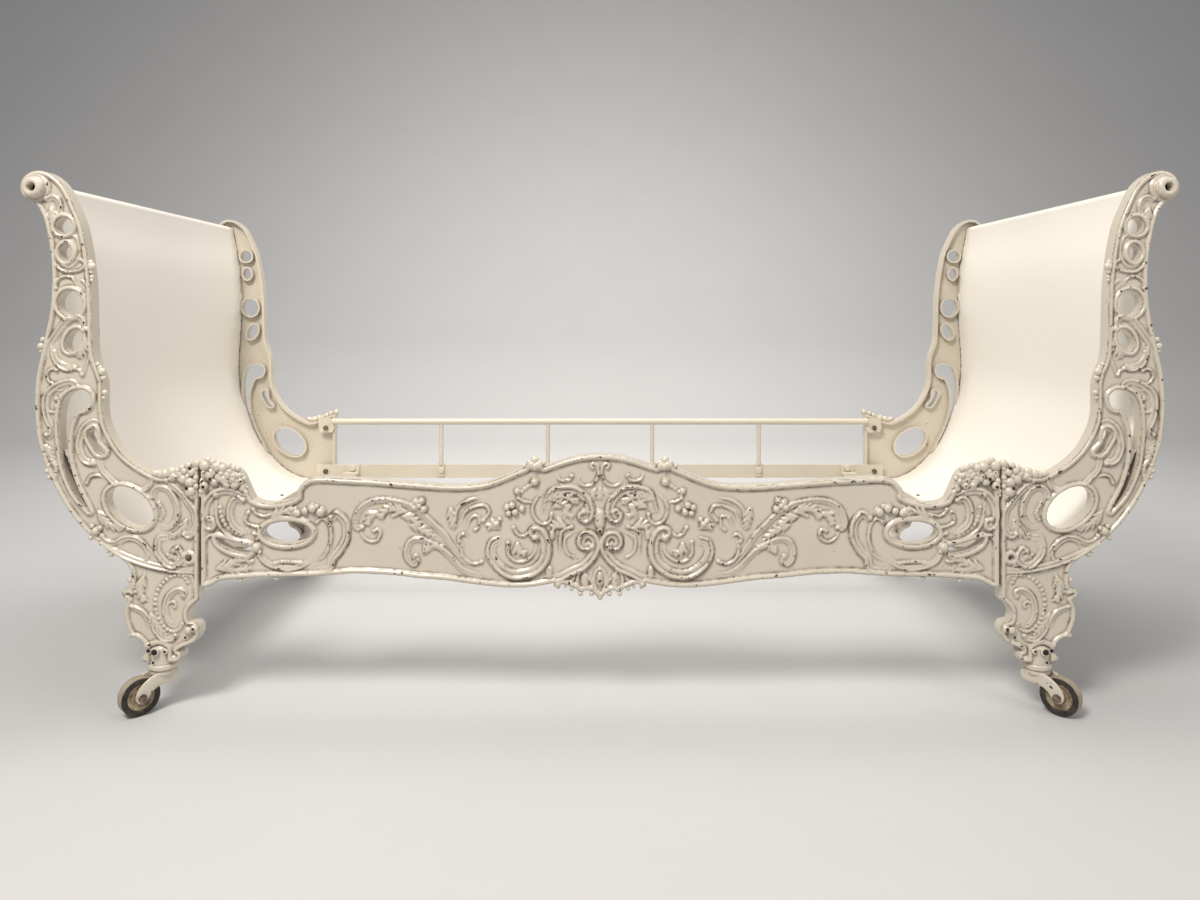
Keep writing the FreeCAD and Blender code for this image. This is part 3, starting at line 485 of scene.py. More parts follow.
# strokes on the right-hand side casting, in mm: (across, height) pairs
sideStrokes = {
    "rib": [   # plain round scrolls: width, height, points
        (6, 4, [(959, 886), (949, 891), (938, 887), (933, 875), (933, 859)]),
        (5, 4, [(948, 794), (945, 780), (938, 768), (926, 760), (911, 760), (899, 763), (892, 769),
            (893, 776), (898, 780)]),
        (4, 3, [(936, 819), (922, 824), (909, 821), (902, 809), (900, 794), (904, 780), (913, 770),
            (922, 768), (930, 771)]),
        (5, 4, [(941, 731), (940, 742), (932, 750), (921, 752), (912, 747), (907, 738)]),
        (7, 5, [(893, 658), (892, 672), (896, 681), (908, 685), (919, 681), (931, 670), (943, 654),
            (955, 636), (960, 622), (963, 614)]),
        (6, 4, [(948, 638), (948, 618), (941, 600), (931, 592), (919, 589), (908, 593)]),
        (4, 3, [(943, 622), (939, 610), (929, 601), (917, 598)]),
        (5, 4, [(939, 589), (948, 592), (956, 586), (957, 578), (952, 569), (941, 566)]),
        (5, 4, [(908, 592), (900, 589), (896, 581)]),
        (4, 3, [(883, 614), (889, 598), (895, 580)]),
        (7, 5, [(902, 562), (910, 570), (921, 572), (938, 567), (954, 556), (962, 542), (962, 519),
            (958, 503), (952, 489), (951, 480), (957, 478)]),
        (4, 3, [(929, 554), (941, 555), (951, 547), (955, 534), (955, 523), (951, 517), (943, 517)]),
        (7, 5, [(868, 501), (879, 503), (890, 497), (899, 485), (903, 469), (904, 457), (901, 444),
            (895, 433), (885, 427), (876, 428)]),
        (6, 4, [(867, 441), (868, 429), (864, 416), (854, 405), (842, 393), (825, 383), (809, 379),
            (794, 379), (781, 385), (775, 396), (775, 405)]),
        (5, 4, [(888, 394), (882, 405), (871, 408), (860, 404)]),
        (6, 4, [(777, 369), (776, 379), (766, 388), (750, 386), (738, 374), (730, 355), (730, 334),
            (738, 320), (748, 314), (759, 315)]),
        (7, 5, [(755, 398), (741, 393), (722, 377), (709, 360), (700, 347), (697, 330), (697, 317),
            (705, 303), (714, 300), (719, 306)]),
        (7, 5, [(750, 303), (764, 301), (769, 288), (767, 272), (757, 258), (743, 248), (729, 252),
            (721, 262), (723, 274), (731, 283), (738, 277)]),
        (6, 4, [(862, 303), (853, 295), (840, 293), (826, 300), (812, 302), (798, 298), (785, 286),
            (771, 270)]),
        (4, 3, [(836, 277), (829, 289), (816, 296), (802, 293), (790, 283), (783, 270), (785, 262)]),
        (6, 4, [(721, 198), (718, 205), (725, 211), (736, 210), (747, 201), (753, 189), (755, 170),
            (751, 156), (743, 146), (738, 146)]),
        (4, 3, [(750, 163), (750, 176), (747, 185), (739, 189), (734, 184), (736, 179)]),
        (6, 4, [(778, 152), (772, 139), (761, 126), (749, 121), (738, 123), (734, 130)]),
        (6, 4, [(810, 181), (802, 179), (789, 172), (780, 159), (776, 145)]),
        (3, 2, [(721, 236), (705, 229), (704, 198)]),
        (7, 5, [(699, 238), (738, 241), (781, 250), (816, 262), (846, 277), (862, 288)]),
        (6, 4, [(740, 114), (764, 121), (786, 114)]),
        (4, 3, [(812, 205), (800, 210), (790, 222), (788, 240)]),
        (3.5, 3.5, [(711, 276), (703, 273), (700, 265), (703, 257), (711, 254), (719, 257), (722, 265),
            (719, 273), (711, 276)]),
    ],
    "drop": [],
    "bead": [  # lines of small balls: radius, height, spacing, points
        (3, 3, 7, [(714, 222), (721, 233), (736, 234), (750, 227), (761, 216), (768, 201), (770, 183),
            (767, 167), (760, 152), (749, 141), (738, 137), (728, 141), (723, 150)]),
        (3, 3, 7, [(934, 545), (926, 551), (918, 556)]),
        (4, 4, 9, [(947, 432), (941, 424), (941, 413), (943, 402)]),
        (3, 3, 8, [(764, 360), (759, 351), (755, 341), (760, 331)]),
        (2.5, 2, 6, [(897, 744), (891, 740), (887, 733), (889, 720)]),
    ],
    "leaf": [  # width, height, teeth, points
        (12, 4, 4, [(889, 645), (893, 628), (902, 612)]),
        (12, 4, 5, [(950, 871), (946, 852), (935, 838)]),
        (12, 4, 4, [(716, 330), (724, 312), (742, 300)]),
        (14, 4, 5, [(868, 345), (852, 325), (828, 314)]),
        (10, 3, 4, [(960, 460), (952, 444), (946, 425)]),
        (14, 4, 5, [(790, 232), (796, 210), (790, 190)]),
        (12, 3, 4, [(778, 168), (768, 150), (752, 132)]),
        (12, 3, 3, [(715, 250), (728, 262), (748, 270)]),
    ],
    "ball": [  # radius, height, points
        (5, 5, [(888, 661), (846, 270), (806, 131), (815, 226), (812, 205)]),
        (4, 4, [(941, 540), (940, 527), (920, 688)]),
        (8, 6, [(872, 311)]),
        (5, 5, [(883, 297)]),
        (7, 7, [(704, 372), (702, 142)]),
        (6, 6, [(745, 412), (757, 409), (733, 405), (722, 414), (712, 407), (704, 414), (700, 398),
            (712, 392), (724, 398), (741, 402)]),
        (5, 5, [(716, 420), (768, 407), (733, 416), (750, 399)]),
    ],
}


def drawStrokes(relief, strokes):
    for width, height, teeth, points in strokes["leaf"]:
        relief.leaf(points, width, height, teeth)
    for width, height, points in strokes["drop"]:
        relief.stroke(smoothPath(points, 1.0), width, height, "round", (1.0, 0.35))
    for width, height, points in strokes["rib"]:
        relief.scroll(points, width, height)
    for radius, height, spacing, points in strokes["bead"]:
        for point in smoothPath(points, spacing):
            relief.dab(point, radius, height)
    for radius, height, points in strokes["ball"]:
        for point in points:
            relief.dab(point, radius, height)


# one casting's relief: its strokes at full height, a bead along its edges, all softened once
def castRelief(node, strokes, shape):
    starts, ends = faceOutline(frame["nodes"][node])
    relief = Relief(starts, ends, shape["cell"])
    drawStrokes(relief, strokes)
    relief.height *= shape["gain"]
    relief.bead(shape["rimWidth"], shape["rimHeight"])
    relief.height = blurred(relief.height)
    return relief


def mirroredCopy(piece, name, flipX, flipY):
    mesh = piece.data.copy()
    mesh.name = name
    points = np.empty(len(mesh.vertices) * 3)
    mesh.vertices.foreach_get("co", points)
    points = points.reshape(-1, 3) * (-1 if flipX else 1, -1 if flipY else 1, 1)
    mesh.vertices.foreach_set("co", points.ravel())
    if flipX != flipY:
        mesh.flip_normals()
    copy = bpy.data.objects.new(name, mesh)
    bpy.context.scene.collection.objects.link(copy)
    return copy


# the right front piece and its mirrored copies at the other corners, all carried by the frame
def atCorners(first, kind, ends=("front", "rear")):
    made = [first]
    for end in ends:
        for side in ("right", "left"):
            if (side, end) != ("right", "front"):
                made.append(mirroredCopy(first, f"{side}_{end}_{kind}", side == "left", end == "rear"))
    for piece in made:
        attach(piece, "frame")
    return made


sideRelief = {"cell": 1.5, "rimWidth": 8.0, "rimHeight": 4.5, "gain": 1.3}     # mm, gain is a factor


def makeSideReliefs():
    relief = castRelief("right_front_side_casting", sideStrokes, sideRelief)
    first = reliefPiece("right_front_relief", relief, castEnamel)
    return atCorners(first, "relief"), relief


sideReliefs, sideMap = makeSideReliefs()
print("side reliefs made:", len(sideReliefs[0].data.polygons), "faces each")

# strokes on the right half of the front rail, in mm
railStrokes = {
    "rib": [
        (8, 5, [(609, 369), (622, 376), (635, 382), (650, 384), (664, 381), (675, 374), (685, 359),
            (688, 344), (687, 330), (682, 318), (673, 314), (667, 320), (669, 330), (676, 331)]),
        (7, 5, [(617, 365), (627, 370), (637, 364), (643, 349), (643, 336), (639, 323), (630, 313),
            (619, 307), (609, 308)]),
        (5, 4, [(664, 367), (665, 349), (662, 329), (654, 314), (640, 303), (624, 296), (604, 292),
            (594, 296), (592, 304), (599, 307)]),
        (5, 4, [(600, 349), (595, 341), (584, 337), (572, 339), (565, 344)]),
        (5, 4, [(609, 343), (614, 329), (604, 321), (589, 318), (577, 323), (562, 332), (545, 336),
            (520, 335), (503, 329)]),
        (5, 4, [(490, 326), (480, 333), (469, 323), (465, 301), (469, 283), (479, 266), (492, 260)]),
        (6, 4, [(590, 269), (584, 259), (572, 251), (555, 246), (537, 244), (517, 248), (500, 258)]),
        (8, 5, [(467, 334), (457, 344), (447, 339), (437, 326), (435, 309), (438, 293), (450, 273),
            (460, 262), (464, 246), (480, 240), (500, 236)]),
        (5, 4, [(683, 289), (679, 301), (669, 305), (660, 301)]),
        (6, 4, [(218, 254), (238, 266), (252, 283), (268, 306), (285, 323), (302, 339), (317, 349),
            (333, 359), (353, 364), (376, 367), (396, 364), (410, 357), (420, 346), (426, 329),
            (424, 317), (418, 313), (411, 317)]),
        (5, 4, [(414, 311), (408, 299), (396, 293), (385, 296), (380, 308), (385, 314), (391, 311)]),
        (6, 4, [(319, 268), (314, 259), (322, 251), (332, 258), (337, 271), (335, 284), (327, 296),
            (313, 299), (300, 296), (285, 289), (268, 278), (252, 263), (238, 248), (222, 240),
            (205, 237)]),
        (5, 4, [(243, 293), (245, 299), (237, 306), (228, 301)]),
        (5, 4, [(238, 293), (240, 276), (232, 261), (218, 254), (205, 258)]),
        (9, 6, [(99, 345), (96, 355), (90, 375), (80, 384), (63, 388), (45, 387), (32, 380), (20, 368),
            (14, 354), (13, 343), (18, 331), (28, 327), (35, 334), (35, 341), (28, 345)]),
        (5, 4, [(98, 377), (111, 365), (117, 350), (114, 336), (106, 326), (95, 323), (86, 330),
            (84, 340)]),
        (5, 4, [(141, 368), (131, 362), (119, 361)]),
        (11, 6, [(174, 300), (188, 295), (194, 281), (192, 265), (180, 248), (160, 234), (140, 231),
            (117, 236), (100, 248), (90, 265), (88, 286), (92, 301), (100, 313), (111, 317), (119, 313),
            (119, 305), (112, 300)]),
        (5, 4, [(159, 291), (159, 272), (149, 260), (135, 258), (121, 265), (112, 277), (110, 290)]),
        (5, 4, [(150, 317), (142, 305), (131, 303), (121, 313)]),
        (9, 6, [(100, 222), (71, 227), (49, 237), (28, 247), (13, 262), (4, 278), (3, 292), (11, 306),
            (25, 309), (35, 300), (36, 288), (30, 281), (22, 280), (14, 285)]),
        (5, 4, [(49, 318), (63, 313), (68, 305), (69, 288), (68, 272)]),
        (4, 3, [(40, 312), (52, 305), (61, 296), (61, 283), (56, 272), (47, 266)]),
        (4.5, 4, [(34, 406), (38, 401), (35, 394), (26, 389), (15, 391), (7, 398), (3, 408), (3, 417),
            (6, 425), (12, 428), (16, 424), (13, 420)]),
        (5, 4, [(75, 410), (71, 401), (62, 398), (52, 400), (49, 406)]),
        (4, 3, [(28, 244), (26, 234), (16, 226), (12, 214)]),
        (5.5, 4, [(251, 329), (246, 350), (228, 364), (207, 369)]),
        (5.5, 4, [(241, 325), (234, 343), (218, 353), (199, 355), (192, 343), (202, 329)]),
        (4.5, 3.5, [(232, 315), (223, 334), (211, 336), (209, 320), (216, 313)]),
        (4.5, 3.5, [(17, 240), (13, 228), (14, 215), (22, 208), (33, 211), (39, 222), (38, 234),
            (32, 242)]),
        (4.5, 3.5, [(0, 246), (7, 241), (10, 228), (8, 214), (0, 207)]),
        (4, 3, [(42, 240), (46, 229), (55, 221), (64, 222)]),
        (4.5, 4, [(2, 340), (9, 337), (15, 340), (15, 345)]),
    ],
    "drop": [  # drops that narrow towards their last point: width, height, points
        (17, 6, [(0, 341), (0, 330), (0, 316)]),
        (12, 3.5, [(26, 232), (26, 224), (26, 216)]),
        (10, 3.5, [(0, 236), (0, 226), (0, 216)]),
        (9, 4, [(83, 308), (83, 303), (83, 297)]),
        (10, 4, [(88, 234), (88, 240), (88, 250)]),
    ],
    "bead": [
        (3, 3, 8, [(563, 256), (551, 258), (539, 258), (527, 257), (517, 256)]),
        (3, 3, 8, [(141, 374), (130, 384), (120, 391), (113, 396)]),
        (3.5, 3, 9, [(658, 352), (655, 336), (648, 322), (636, 311), (622, 303)]),
        (3, 3, 7, [(337, 344), (348, 341), (358, 337)]),
    ],
    "leaf": [
        (15, 4, 5, [(662, 246), (640, 252), (620, 262), (602, 259)]),
        (10, 3, 3, [(645, 244), (628, 243), (606, 246)]),
        (16, 5, 5, [(567, 334), (552, 345), (530, 345)]),
        (14, 4, 6, [(337, 344), (353, 350), (368, 348), (381, 335)]),
        (12, 4, 4, [(385, 343), (396, 338), (403, 323)]),
        (12, 4, 4, [(342, 337), (327, 334), (312, 322)]),
        (12, 4, 4, [(327, 321), (313, 316), (300, 309), (284, 296)]),
        (12, 4, 4, [(305, 272), (298, 282), (285, 285), (272, 280)]),
        (12, 4, 3, [(259, 350), (256, 332), (253, 316)]),
        (15, 4, 5, [(92, 366), (76, 372), (58, 372), (40, 360)]),
        (12, 4, 4, [(80, 352), (66, 358), (52, 352)]),
        (10, 3, 3, [(60, 352), (58, 342), (48, 336)]),
        (12, 4, 4, [(143, 290), (142, 278), (130, 272)]),
        (14, 4, 4, [(60, 318), (70, 322), (80, 318)]),
        (12, 4, 3, [(174, 316), (186, 322), (192, 314)]),
        (10, 3, 2, [(0, 386), (0, 376), (0, 366)]),
        (8, 3, 2, [(8, 384), (12, 374), (10, 366)]),
        (12, 4, 4, [(640, 410), (626, 404), (614, 392)]),
        (14, 4, 4, [(672, 418), (654, 412), (638, 400)]),
    ],
    "ball": [
        (9, 6, [(594, 283)]),
        (6, 5, [(525, 343), (623, 225), (664, 374)]),
        (5, 5, [(512, 346), (0, 313), (560, 228)]),
        (7, 6, [(499, 351), (113, 396)]),
        (8, 6, [(483, 344)]),
        (5, 5, [(143, 380), (135, 350), (147, 344), (152, 356), (161, 352), (158, 342)]),
        (6, 6, [(179, 323), (313, 355), (305, 349), (321, 352), (309, 363), (319, 361)]),
        (4, 4, [(174, 331), (185, 328), (73, 218), (20, 345)]),
        (7, 7, [(688, 398), (684, 412), (676, 404), (668, 396), (660, 405), (650, 398), (672, 414),
            (654, 411), (642, 407), (634, 400), (627, 408), (620, 398), (632, 390), (645, 391)]),
        (5, 5, [(681, 424), (664, 420), (649, 416), (637, 413), (626, 392), (616, 389), (610, 379),
            (619, 384)]),
        (9, 6, [(118, 425), (106, 424)]),
    ],
}
railRelief = {"cell": 1.65, "rimWidth": 9.5, "rimHeight": 5.0, "gain": 1.3}


def makeRailRelief():
    both = {}
    for kind, rows in railStrokes.items():
        both[kind] = rows + [(*row[:-1], [(-across, height) for across, height in row[-1]]) for row in rows]
    relief = castRelief("front_rail_casting", both, railRelief)
    piece = reliefPiece("front_rail_relief", relief, castEnamel)
    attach(piece, "frame")
    return piece, relief


railPiece, railMap = makeRailRelief()
print("rail relief made:", len(railPiece.data.polygons), "faces")


def strewn(name, pattern, places, material):
    # one piece out of scaled copies of a pattern, which is then dropped
    copies = []
    for place, size in places:
        copy = pattern.copy()
        copy.data = pattern.data.copy()
        copy.location = place
        copy.scale = size
        bpy.context.scene.collection.objects.link(copy)
        copies.append(copy)
    bpy.data.objects.remove(pattern)
    deselectAll()
    for copy in copies:
        copy.select_set(True)
    bpy.context.view_layer.objects.active = copies[0]
    bpy.ops.object.transform_apply(location=True, rotation=True, scale=True)
    bpy.ops.object.join()
    piece = bpy.context.object
    piece.name = piece.data.name = name
    bpy.ops.object.shade_smooth()
    giveMaterial(piece, material)
    return piece


def unitBall():
    deselectAll()
    bpy.ops.mesh.primitive_uv_sphere_add(segments=16, ring_count=9, radius=1)
    return bpy.context.object


cupTop = 112.0     # mm, the balls below stand on the caster's cup and aren't moved


def ballPlaces(rows, stand, relief):
    # rows of (across, height, radius, how far the middle stands before the face); stand scales the depth
    places = []
    for across, height, radius, out in rows:
        if height > cupTop:
            across, height, out = relief.seated(across, height, radius, out)
        size = (radius * mm, radius * stand * mm, radius * mm)
        places.append(((across * mm, -castFace - out * mm, height * mm), size))
    return places


# berries, buds and balls on the front right, in mm: across, height, radius, how far out
ornaments = {
    "side_berries": [
        (698, 431, 7.5, 2), (712, 424, 6.5, 3), (725, 424, 6.5, 1), (733, 421, 5.5, 2), (718, 415, 6, 4),
        (725, 409, 6, 3), (737, 406, 7, 3), (731, 412, 5.5, 2), (745, 411, 5.5, 2), (754, 415, 8.6, -1),
        (763, 421, 7, -2), (760, 414, 7, -1), (750, 408, 4.2, 2), (706, 413, 6.5, 4), (698, 420, 4.6, 3),
        (720, 401, 8.5, 3), (708, 396, 8.5, 5), (707, 380, 9.5, 5), (698, 404, 5, 4), (698, 389, 5, 4),
        (743, 419, 8.6, 0), (769, 414, 6, 0), (713, 406, 4.5, 5),
    ],
    "rail_berries": [
        (683, 424, 9.5, 3), (678, 433, 6.5, 1), (670, 430, 6.2, 2), (663, 422, 9, 3), (652, 420, 7.6, 3),
        (643, 424, 6.5, 2), (634, 420, 6, 2), (627, 418, 5.5, 1), (640, 414, 6, 3), (644, 409, 6, 4),
        (634, 407, 6, 3), (625, 407, 6, 2), (628, 398, 6, 2), (620, 396, 4.4, 1), (637, 398, 5, 3),
        (650, 402, 6.5, 4), (657, 402, 6, 4), (666, 396, 6, 4), (646, 397, 5, 4), (618, 389, 3.6, 1),
        (611, 386, 2.6, 0), (684, 390, 7.6, 4), (688, 381, 6, 3), (690, 374, 4.4, 2), (674, 408, 7.5, 4),
        (684, 408, 6, 3), (659, 431, 5, 1), (668, 412, 5, 4), (616, 402, 4.4, 1), (611, 412, 3, 0),
    ],
    "side_buds": [
        (875, 769, 7.5, 1), (875, 777, 5, 0), (874, 761, 5, 0), (875, 751, 4, 0), (879, 745, 3.4, 1),
        (855, 589, 7, 1), (850, 578, 5, 1), (860, 596, 5, 0), (845, 550, 5, 0), (849, 541, 3.5, 1),
        (868, 600, 4, 2), (971, 632, 6.5, 0), (968, 643, 5, 0), (974, 624, 3.6, 0), (812, 131, 5, 0),
        (815, 226, 5, 0), (846, 270, 5, 2), (851, 277, 3.6, 3), (883, 297, 4.6, 1), (889, 291, 3.6, 0),
        (872, 311, 6.6, 4), (864, 317, 4.5, 4), (878, 320, 4.5, 3), (822, 262, 4, 0), (954, 425, 4, 2),
        (956, 415, 4.6, 2), (954, 404, 4, 2), (789, 89, 6.8, -4), (738, 90, 6.5, -1), (731, 93, 8, -5),
        (711, 140, 6.5, 4), (780, 103, 5.2, 1.5), (766, 103, 7, 8), (750, 104, 5, 5),
    ],
    "rail_buds": [
        (104, 428, 6.5, 1), (113, 433, 7.5, 0), (122, 429, 6, 1), (112, 423, 7, 4), (95, 431, 4, 1),
        (131, 424, 4, 1), (72, 212, 4, 0), (82, 210, 3, 0), (18, 199, 4.5, 1), (34, 203, 4.5, 1),
        (0, 197, 5, 1), (50, 207, 4, 1), (62, 210, 3.4, 1), (483, 344, 7.5, 4), (497, 350, 7, 4),
        (510, 346, 6, 4), (522, 342, 5.5, 4), (533, 349, 5, 4), (490, 354, 5, 3), (623, 226, 4.5, 0),
        (560, 227, 4, 0), (594, 283, 8, 4), (604, 290, 4.5, 4), (588, 276, 4, 4), (179, 323, 5, 3),
        (313, 355, 5, 4), (305, 349, 5.5, 4), (321, 352, 5, 4), (309, 363, 5, 3), (319, 361, 5, 3),
        (143, 380, 5, 3), (135, 350, 5, 4), (147, 344, 5.5, 4), (152, 356, 5.5, 4), (161, 352, 5, 4),
        (158, 342, 5, 4), (113, 396, 6, 4), (73, 219, 4.5, 3),
    ],
    # near-black dots of painted shade set in the deep recesses among berries and buds
    "side_pits": [
        (707, 421, 2.6, 8.5), (711, 387, 2.8, 12), (941, 540, 2.6, 3.2), (701, 144, 2.4, 9.5),
        (716, 128, 2.2, 5), (780, 104.5, 3.6, 4.3), (766, 105, 5.2, 12), (750, 105, 2.4, 8.3),
        (770, 86, 2.3, 8.6),
    ],
    "rail_pits": [(671, 402, 2.8, 10.5), (683, 389, 2.8, 11), (0, 312, 2.4, 6), (60, 374, 2, 5)],
}


# kind of ornament: material, slot, how deep a ball is for its width, where its side pieces are repeated
ornamentKinds = {
    "berries": (castEnamel, "cast_enamel", 0.8, ("front", "rear")),
    "buds": (castEnamel, "cast_enamel", 0.8, ("front",)),
    "pits": (pitShadow, "rusty_steel", 0.45, ("front",)),
}


def makeOrnaments():
    made = []
    for name, rows in ornaments.items():
        place, kind = name.split("_")
        material, slot, stand, ends = ornamentKinds[kind]
        if place == "side":
            first = strewn("right_front_" + kind, unitBall(), ballPlaces(rows, stand, sideMap), material)
            made += atCorners(first, kind, ends)
            continue
        rows = rows + [(-across, height, radius, out) for across, height, radius, out in rows if across > 0]
        piece = strewn("front_rail_" + kind, unitBall(), ballPlaces(rows, stand, railMap), material)
        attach(piece, "frame")
        made.append(piece)
    return made


ornamentPieces = makeOrnaments()
print("ornaments made:", len(ornamentPieces), "pieces")


def spunPiece(name, profile, centre, axis, material, steps=40):
    # a closed outline of (radius, place along the axis) in mm, spun once round the axis
    axis = Vector(axis).normalized()
    side = axis.orthogonal().normalized()
    centre = Vector(centre)
    deselectAll()
    bpy.ops.mesh.primitive_circle_add(vertices=len(profile), radius=0.01, location=(0, 0, 0))
    piece = bpy.context.object
    piece.name = piece.data.name = name
    for vertex, (radius, along) in zip(piece.data.vertices, profile):
        vertex.co = centre + side * radius * mm + axis * along * mm
    bpy.ops.object.mode_set(mode="EDIT")
    bpy.ops.mesh.select_all(action="SELECT")
    bpy.ops.mesh.spin(steps=steps, angle=2 * math.pi, center=centre, axis=axis)
    bpy.ops.mesh.select_all(action="SELECT")
    bpy.ops.mesh.remove_doubles(threshold=0.00001)
    bpy.ops.mesh.normals_make_consistent(inside=False)
    bpy.ops.object.mode_set(mode="OBJECT")
    bpy.ops.object.shade_smooth_by_angle(angle=math.radians(35))
    giveMaterial(piece, material)
    return piece


# rounded scroll boss round the tube end: (radius, how far out), in mm
bossShape = {
    "centre": (0.976, 0.905), "profile": [
        (7.4, -1), (7.4, 15.2), (8.2, 16.6), (10.5, 17.6), (13.5, 17.2), (16.3, 15.4), (18.2, 12.4),
        (19.0, 8.6), (18.6, 5.0), (20.4, 3.8), (21.2, 2.0), (20.8, 0.2), (20.0, -1)],
}


def makeBosses():
    across, height = bossShape["centre"]
    centre = (across, -castFace, height)
    first = spunPiece("right_front_boss", bossShape["profile"], centre, (0, -1, 0), castEnamel)
    return atCorners(first, "boss")


print("scroll bosses made:", len(makeBosses()))

# caster fork with the wheel straight ahead of the stem, in mm: forward and height of the arm's outline
hornShape = {
    "outline": [(-20, 66), (-21, 60), (-20.5, 54), (-17, 49.5), (-10, 47.5), (-1, 47), (9, 46), (17, 43.5),
                (24, 39), (29.5, 31.5), (33, 25), (40, 22), (46.5, 24.5), (50, 30), (50.5, 36), (48.5, 43),
                (44, 50), (37, 57), (28, 63), (17, 67), (6, 68.8), (-8, 68.8)],
    "armInner": 12.5, "armThick": 5.2, "bevel": 1.8,
    "crownRadius": 21.5, "crownLow": 60.9, "crownHigh": 69.2, "crownBevel": 2.2,
    "web": (-20.5, -5.0, 50.0, 64.0),     # back, front, low and high
}
wheelShape = {   # one side of the disc: radius and how far out from the wheel's middle
    "disc": [(3.7, 12.0), (8.6, 12.0), (9.2, 10.4), (11.0, 9.4), (12.5, 10.0), (14.0, 9.4), (15.5, 8.4),
             (17.5, 9.4), (19.5, 9.8), (20.4, 9.8), (22.0, 9.8), (22.4, 8.5)],
    "tyre": [(21.9, 9.0), (22.3, 10.2), (23.6, 10.9), (26.0, 11.0), (27.6, 10.4), (29.4, 11.0), (30.4, 10.8),
             (31.4, 10.0), (31.9, 8.6), (32.0, 6.0), (32.0, 2.0)],
    "treadFrom": 31.6,     # beyond this radius the tyre rolls on the floor
    "treadPatches": 110.0, "treadWorn": (0.40, 0.33, 0.24),
}


def wornTread(name):
    # the tyre's dark rubber, worn pale where it rolls
    material = patchyMetal(name, tyreLook)
    tree = material.node_tree
    shader = tree.nodes["Principled BSDF"]
    rubber = shader.inputs["Base Color"].links[0].from_socket
    tread = newNode(tree, "ShaderNodeAttribute", -350, 500, attribute_name="tread")
    coords = newNode(tree, "ShaderNodeTexCoord", -900, 700).outputs["Object"]
    patches = noiseNode(tree, -700, 700, coords, wheelShape["treadPatches"])
    patches = mathNode(tree, -600, 700, "ADD", patches, 0.35)
    worn = mathNode(tree, -500, 600, "MULTIPLY", tread.outputs["Fac"], patches, clamp=True)
    blend = mixColour(tree, -150, 500, worn, (0.0, 0.0, 0.0), wheelShape["treadWorn"])
    tree.links.new(rubber, blend.node.inputs[6])
    tree.links.new(blend, shader.inputs["Base Color"])
    return material


treadWorn = wornTread("treadWorn")


def roundSharpEdges(offset, segments):
    bpy.ops.object.mode_set(mode="EDIT")
    bpy.ops.mesh.select_all(action="DESELECT")
    bpy.ops.mesh.select_mode(type="EDGE")
    bpy.ops.mesh.edges_select_sharp(sharpness=math.radians(60))
    bpy.ops.mesh.bevel(offset=offset * mm, segments=segments)
    bpy.ops.object.mode_set(mode="OBJECT")


def beveledSolid(outline, axisStart, thickness, bevel):
    # a flat outline of (forward, height) at one side place, pulled out sideways and rounded at its edges
    deselectAll()
    bpy.ops.mesh.primitive_circle_add(vertices=len(outline), radius=0.01, fill_type="NGON")
    piece = bpy.context.object
    for vertex, (forward, height) in zip(piece.data.vertices, outline):
        vertex.co = (axisStart * mm, -forward * mm, height * mm)
    bpy.ops.object.mode_set(mode="EDIT")
    bpy.ops.mesh.select_all(action="SELECT")
    bpy.ops.mesh.extrude_region_move(TRANSFORM_OT_translate={"value": (thickness * mm, 0, 0)})
    bpy.ops.mesh.select_all(action="SELECT")
    bpy.ops.mesh.normals_make_consistent(inside=False)
    bpy.ops.object.mode_set(mode="OBJECT")
    roundSharpEdges(bevel, 3)
    return piece


def joined(pieces, name, material):
    deselectAll()
    for piece in pieces:
        piece.select_set(True)
    bpy.context.view_layer.objects.active = pieces[0]
    bpy.ops.object.join()
    piece = bpy.context.object
    piece.name = piece.data.name = name
    bpy.ops.object.shade_smooth_by_angle(angle=math.radians(38))
    giveMaterial(piece, material)
    return piece


def makeFork(stem, turn):
    shape = hornShape
    arms = [beveledSolid(shape["outline"], start, shape["armThick"], shape["bevel"])
            for start in (shape["armInner"], -shape["armInner"] - shape["armThick"])]
    back, front, low, high = shape["web"]
    web = beveledSolid([(back, low), (front, low), (front, high), (back, high)], -shape["armInner"] - 1,
                       2 * shape["armInner"] + 2, shape["bevel"])
    bpy.ops.mesh.primitive_cylinder_add(vertices=48, radius=shape["crownRadius"] * mm,
                                        depth=(shape["crownHigh"] - shape["crownLow"]) * mm,
                                        location=(0, 0, (shape["crownHigh"] + shape["crownLow"]) / 2 * mm))
    crown = bpy.context.object
    bpy.ops.object.transform_apply(location=True, rotation=False, scale=False)
    roundSharpEdges(shape["crownBevel"], 4)
    fork = joined(arms + [web, crown], "right_front_caster_shell", hornPaint)
    fork.rotation_euler = (0, 0, turn)
    fork.location = (stem[0], stem[1], 0)
    bpy.ops.object.transform_apply(location=True, rotation=True, scale=False)
    return fork


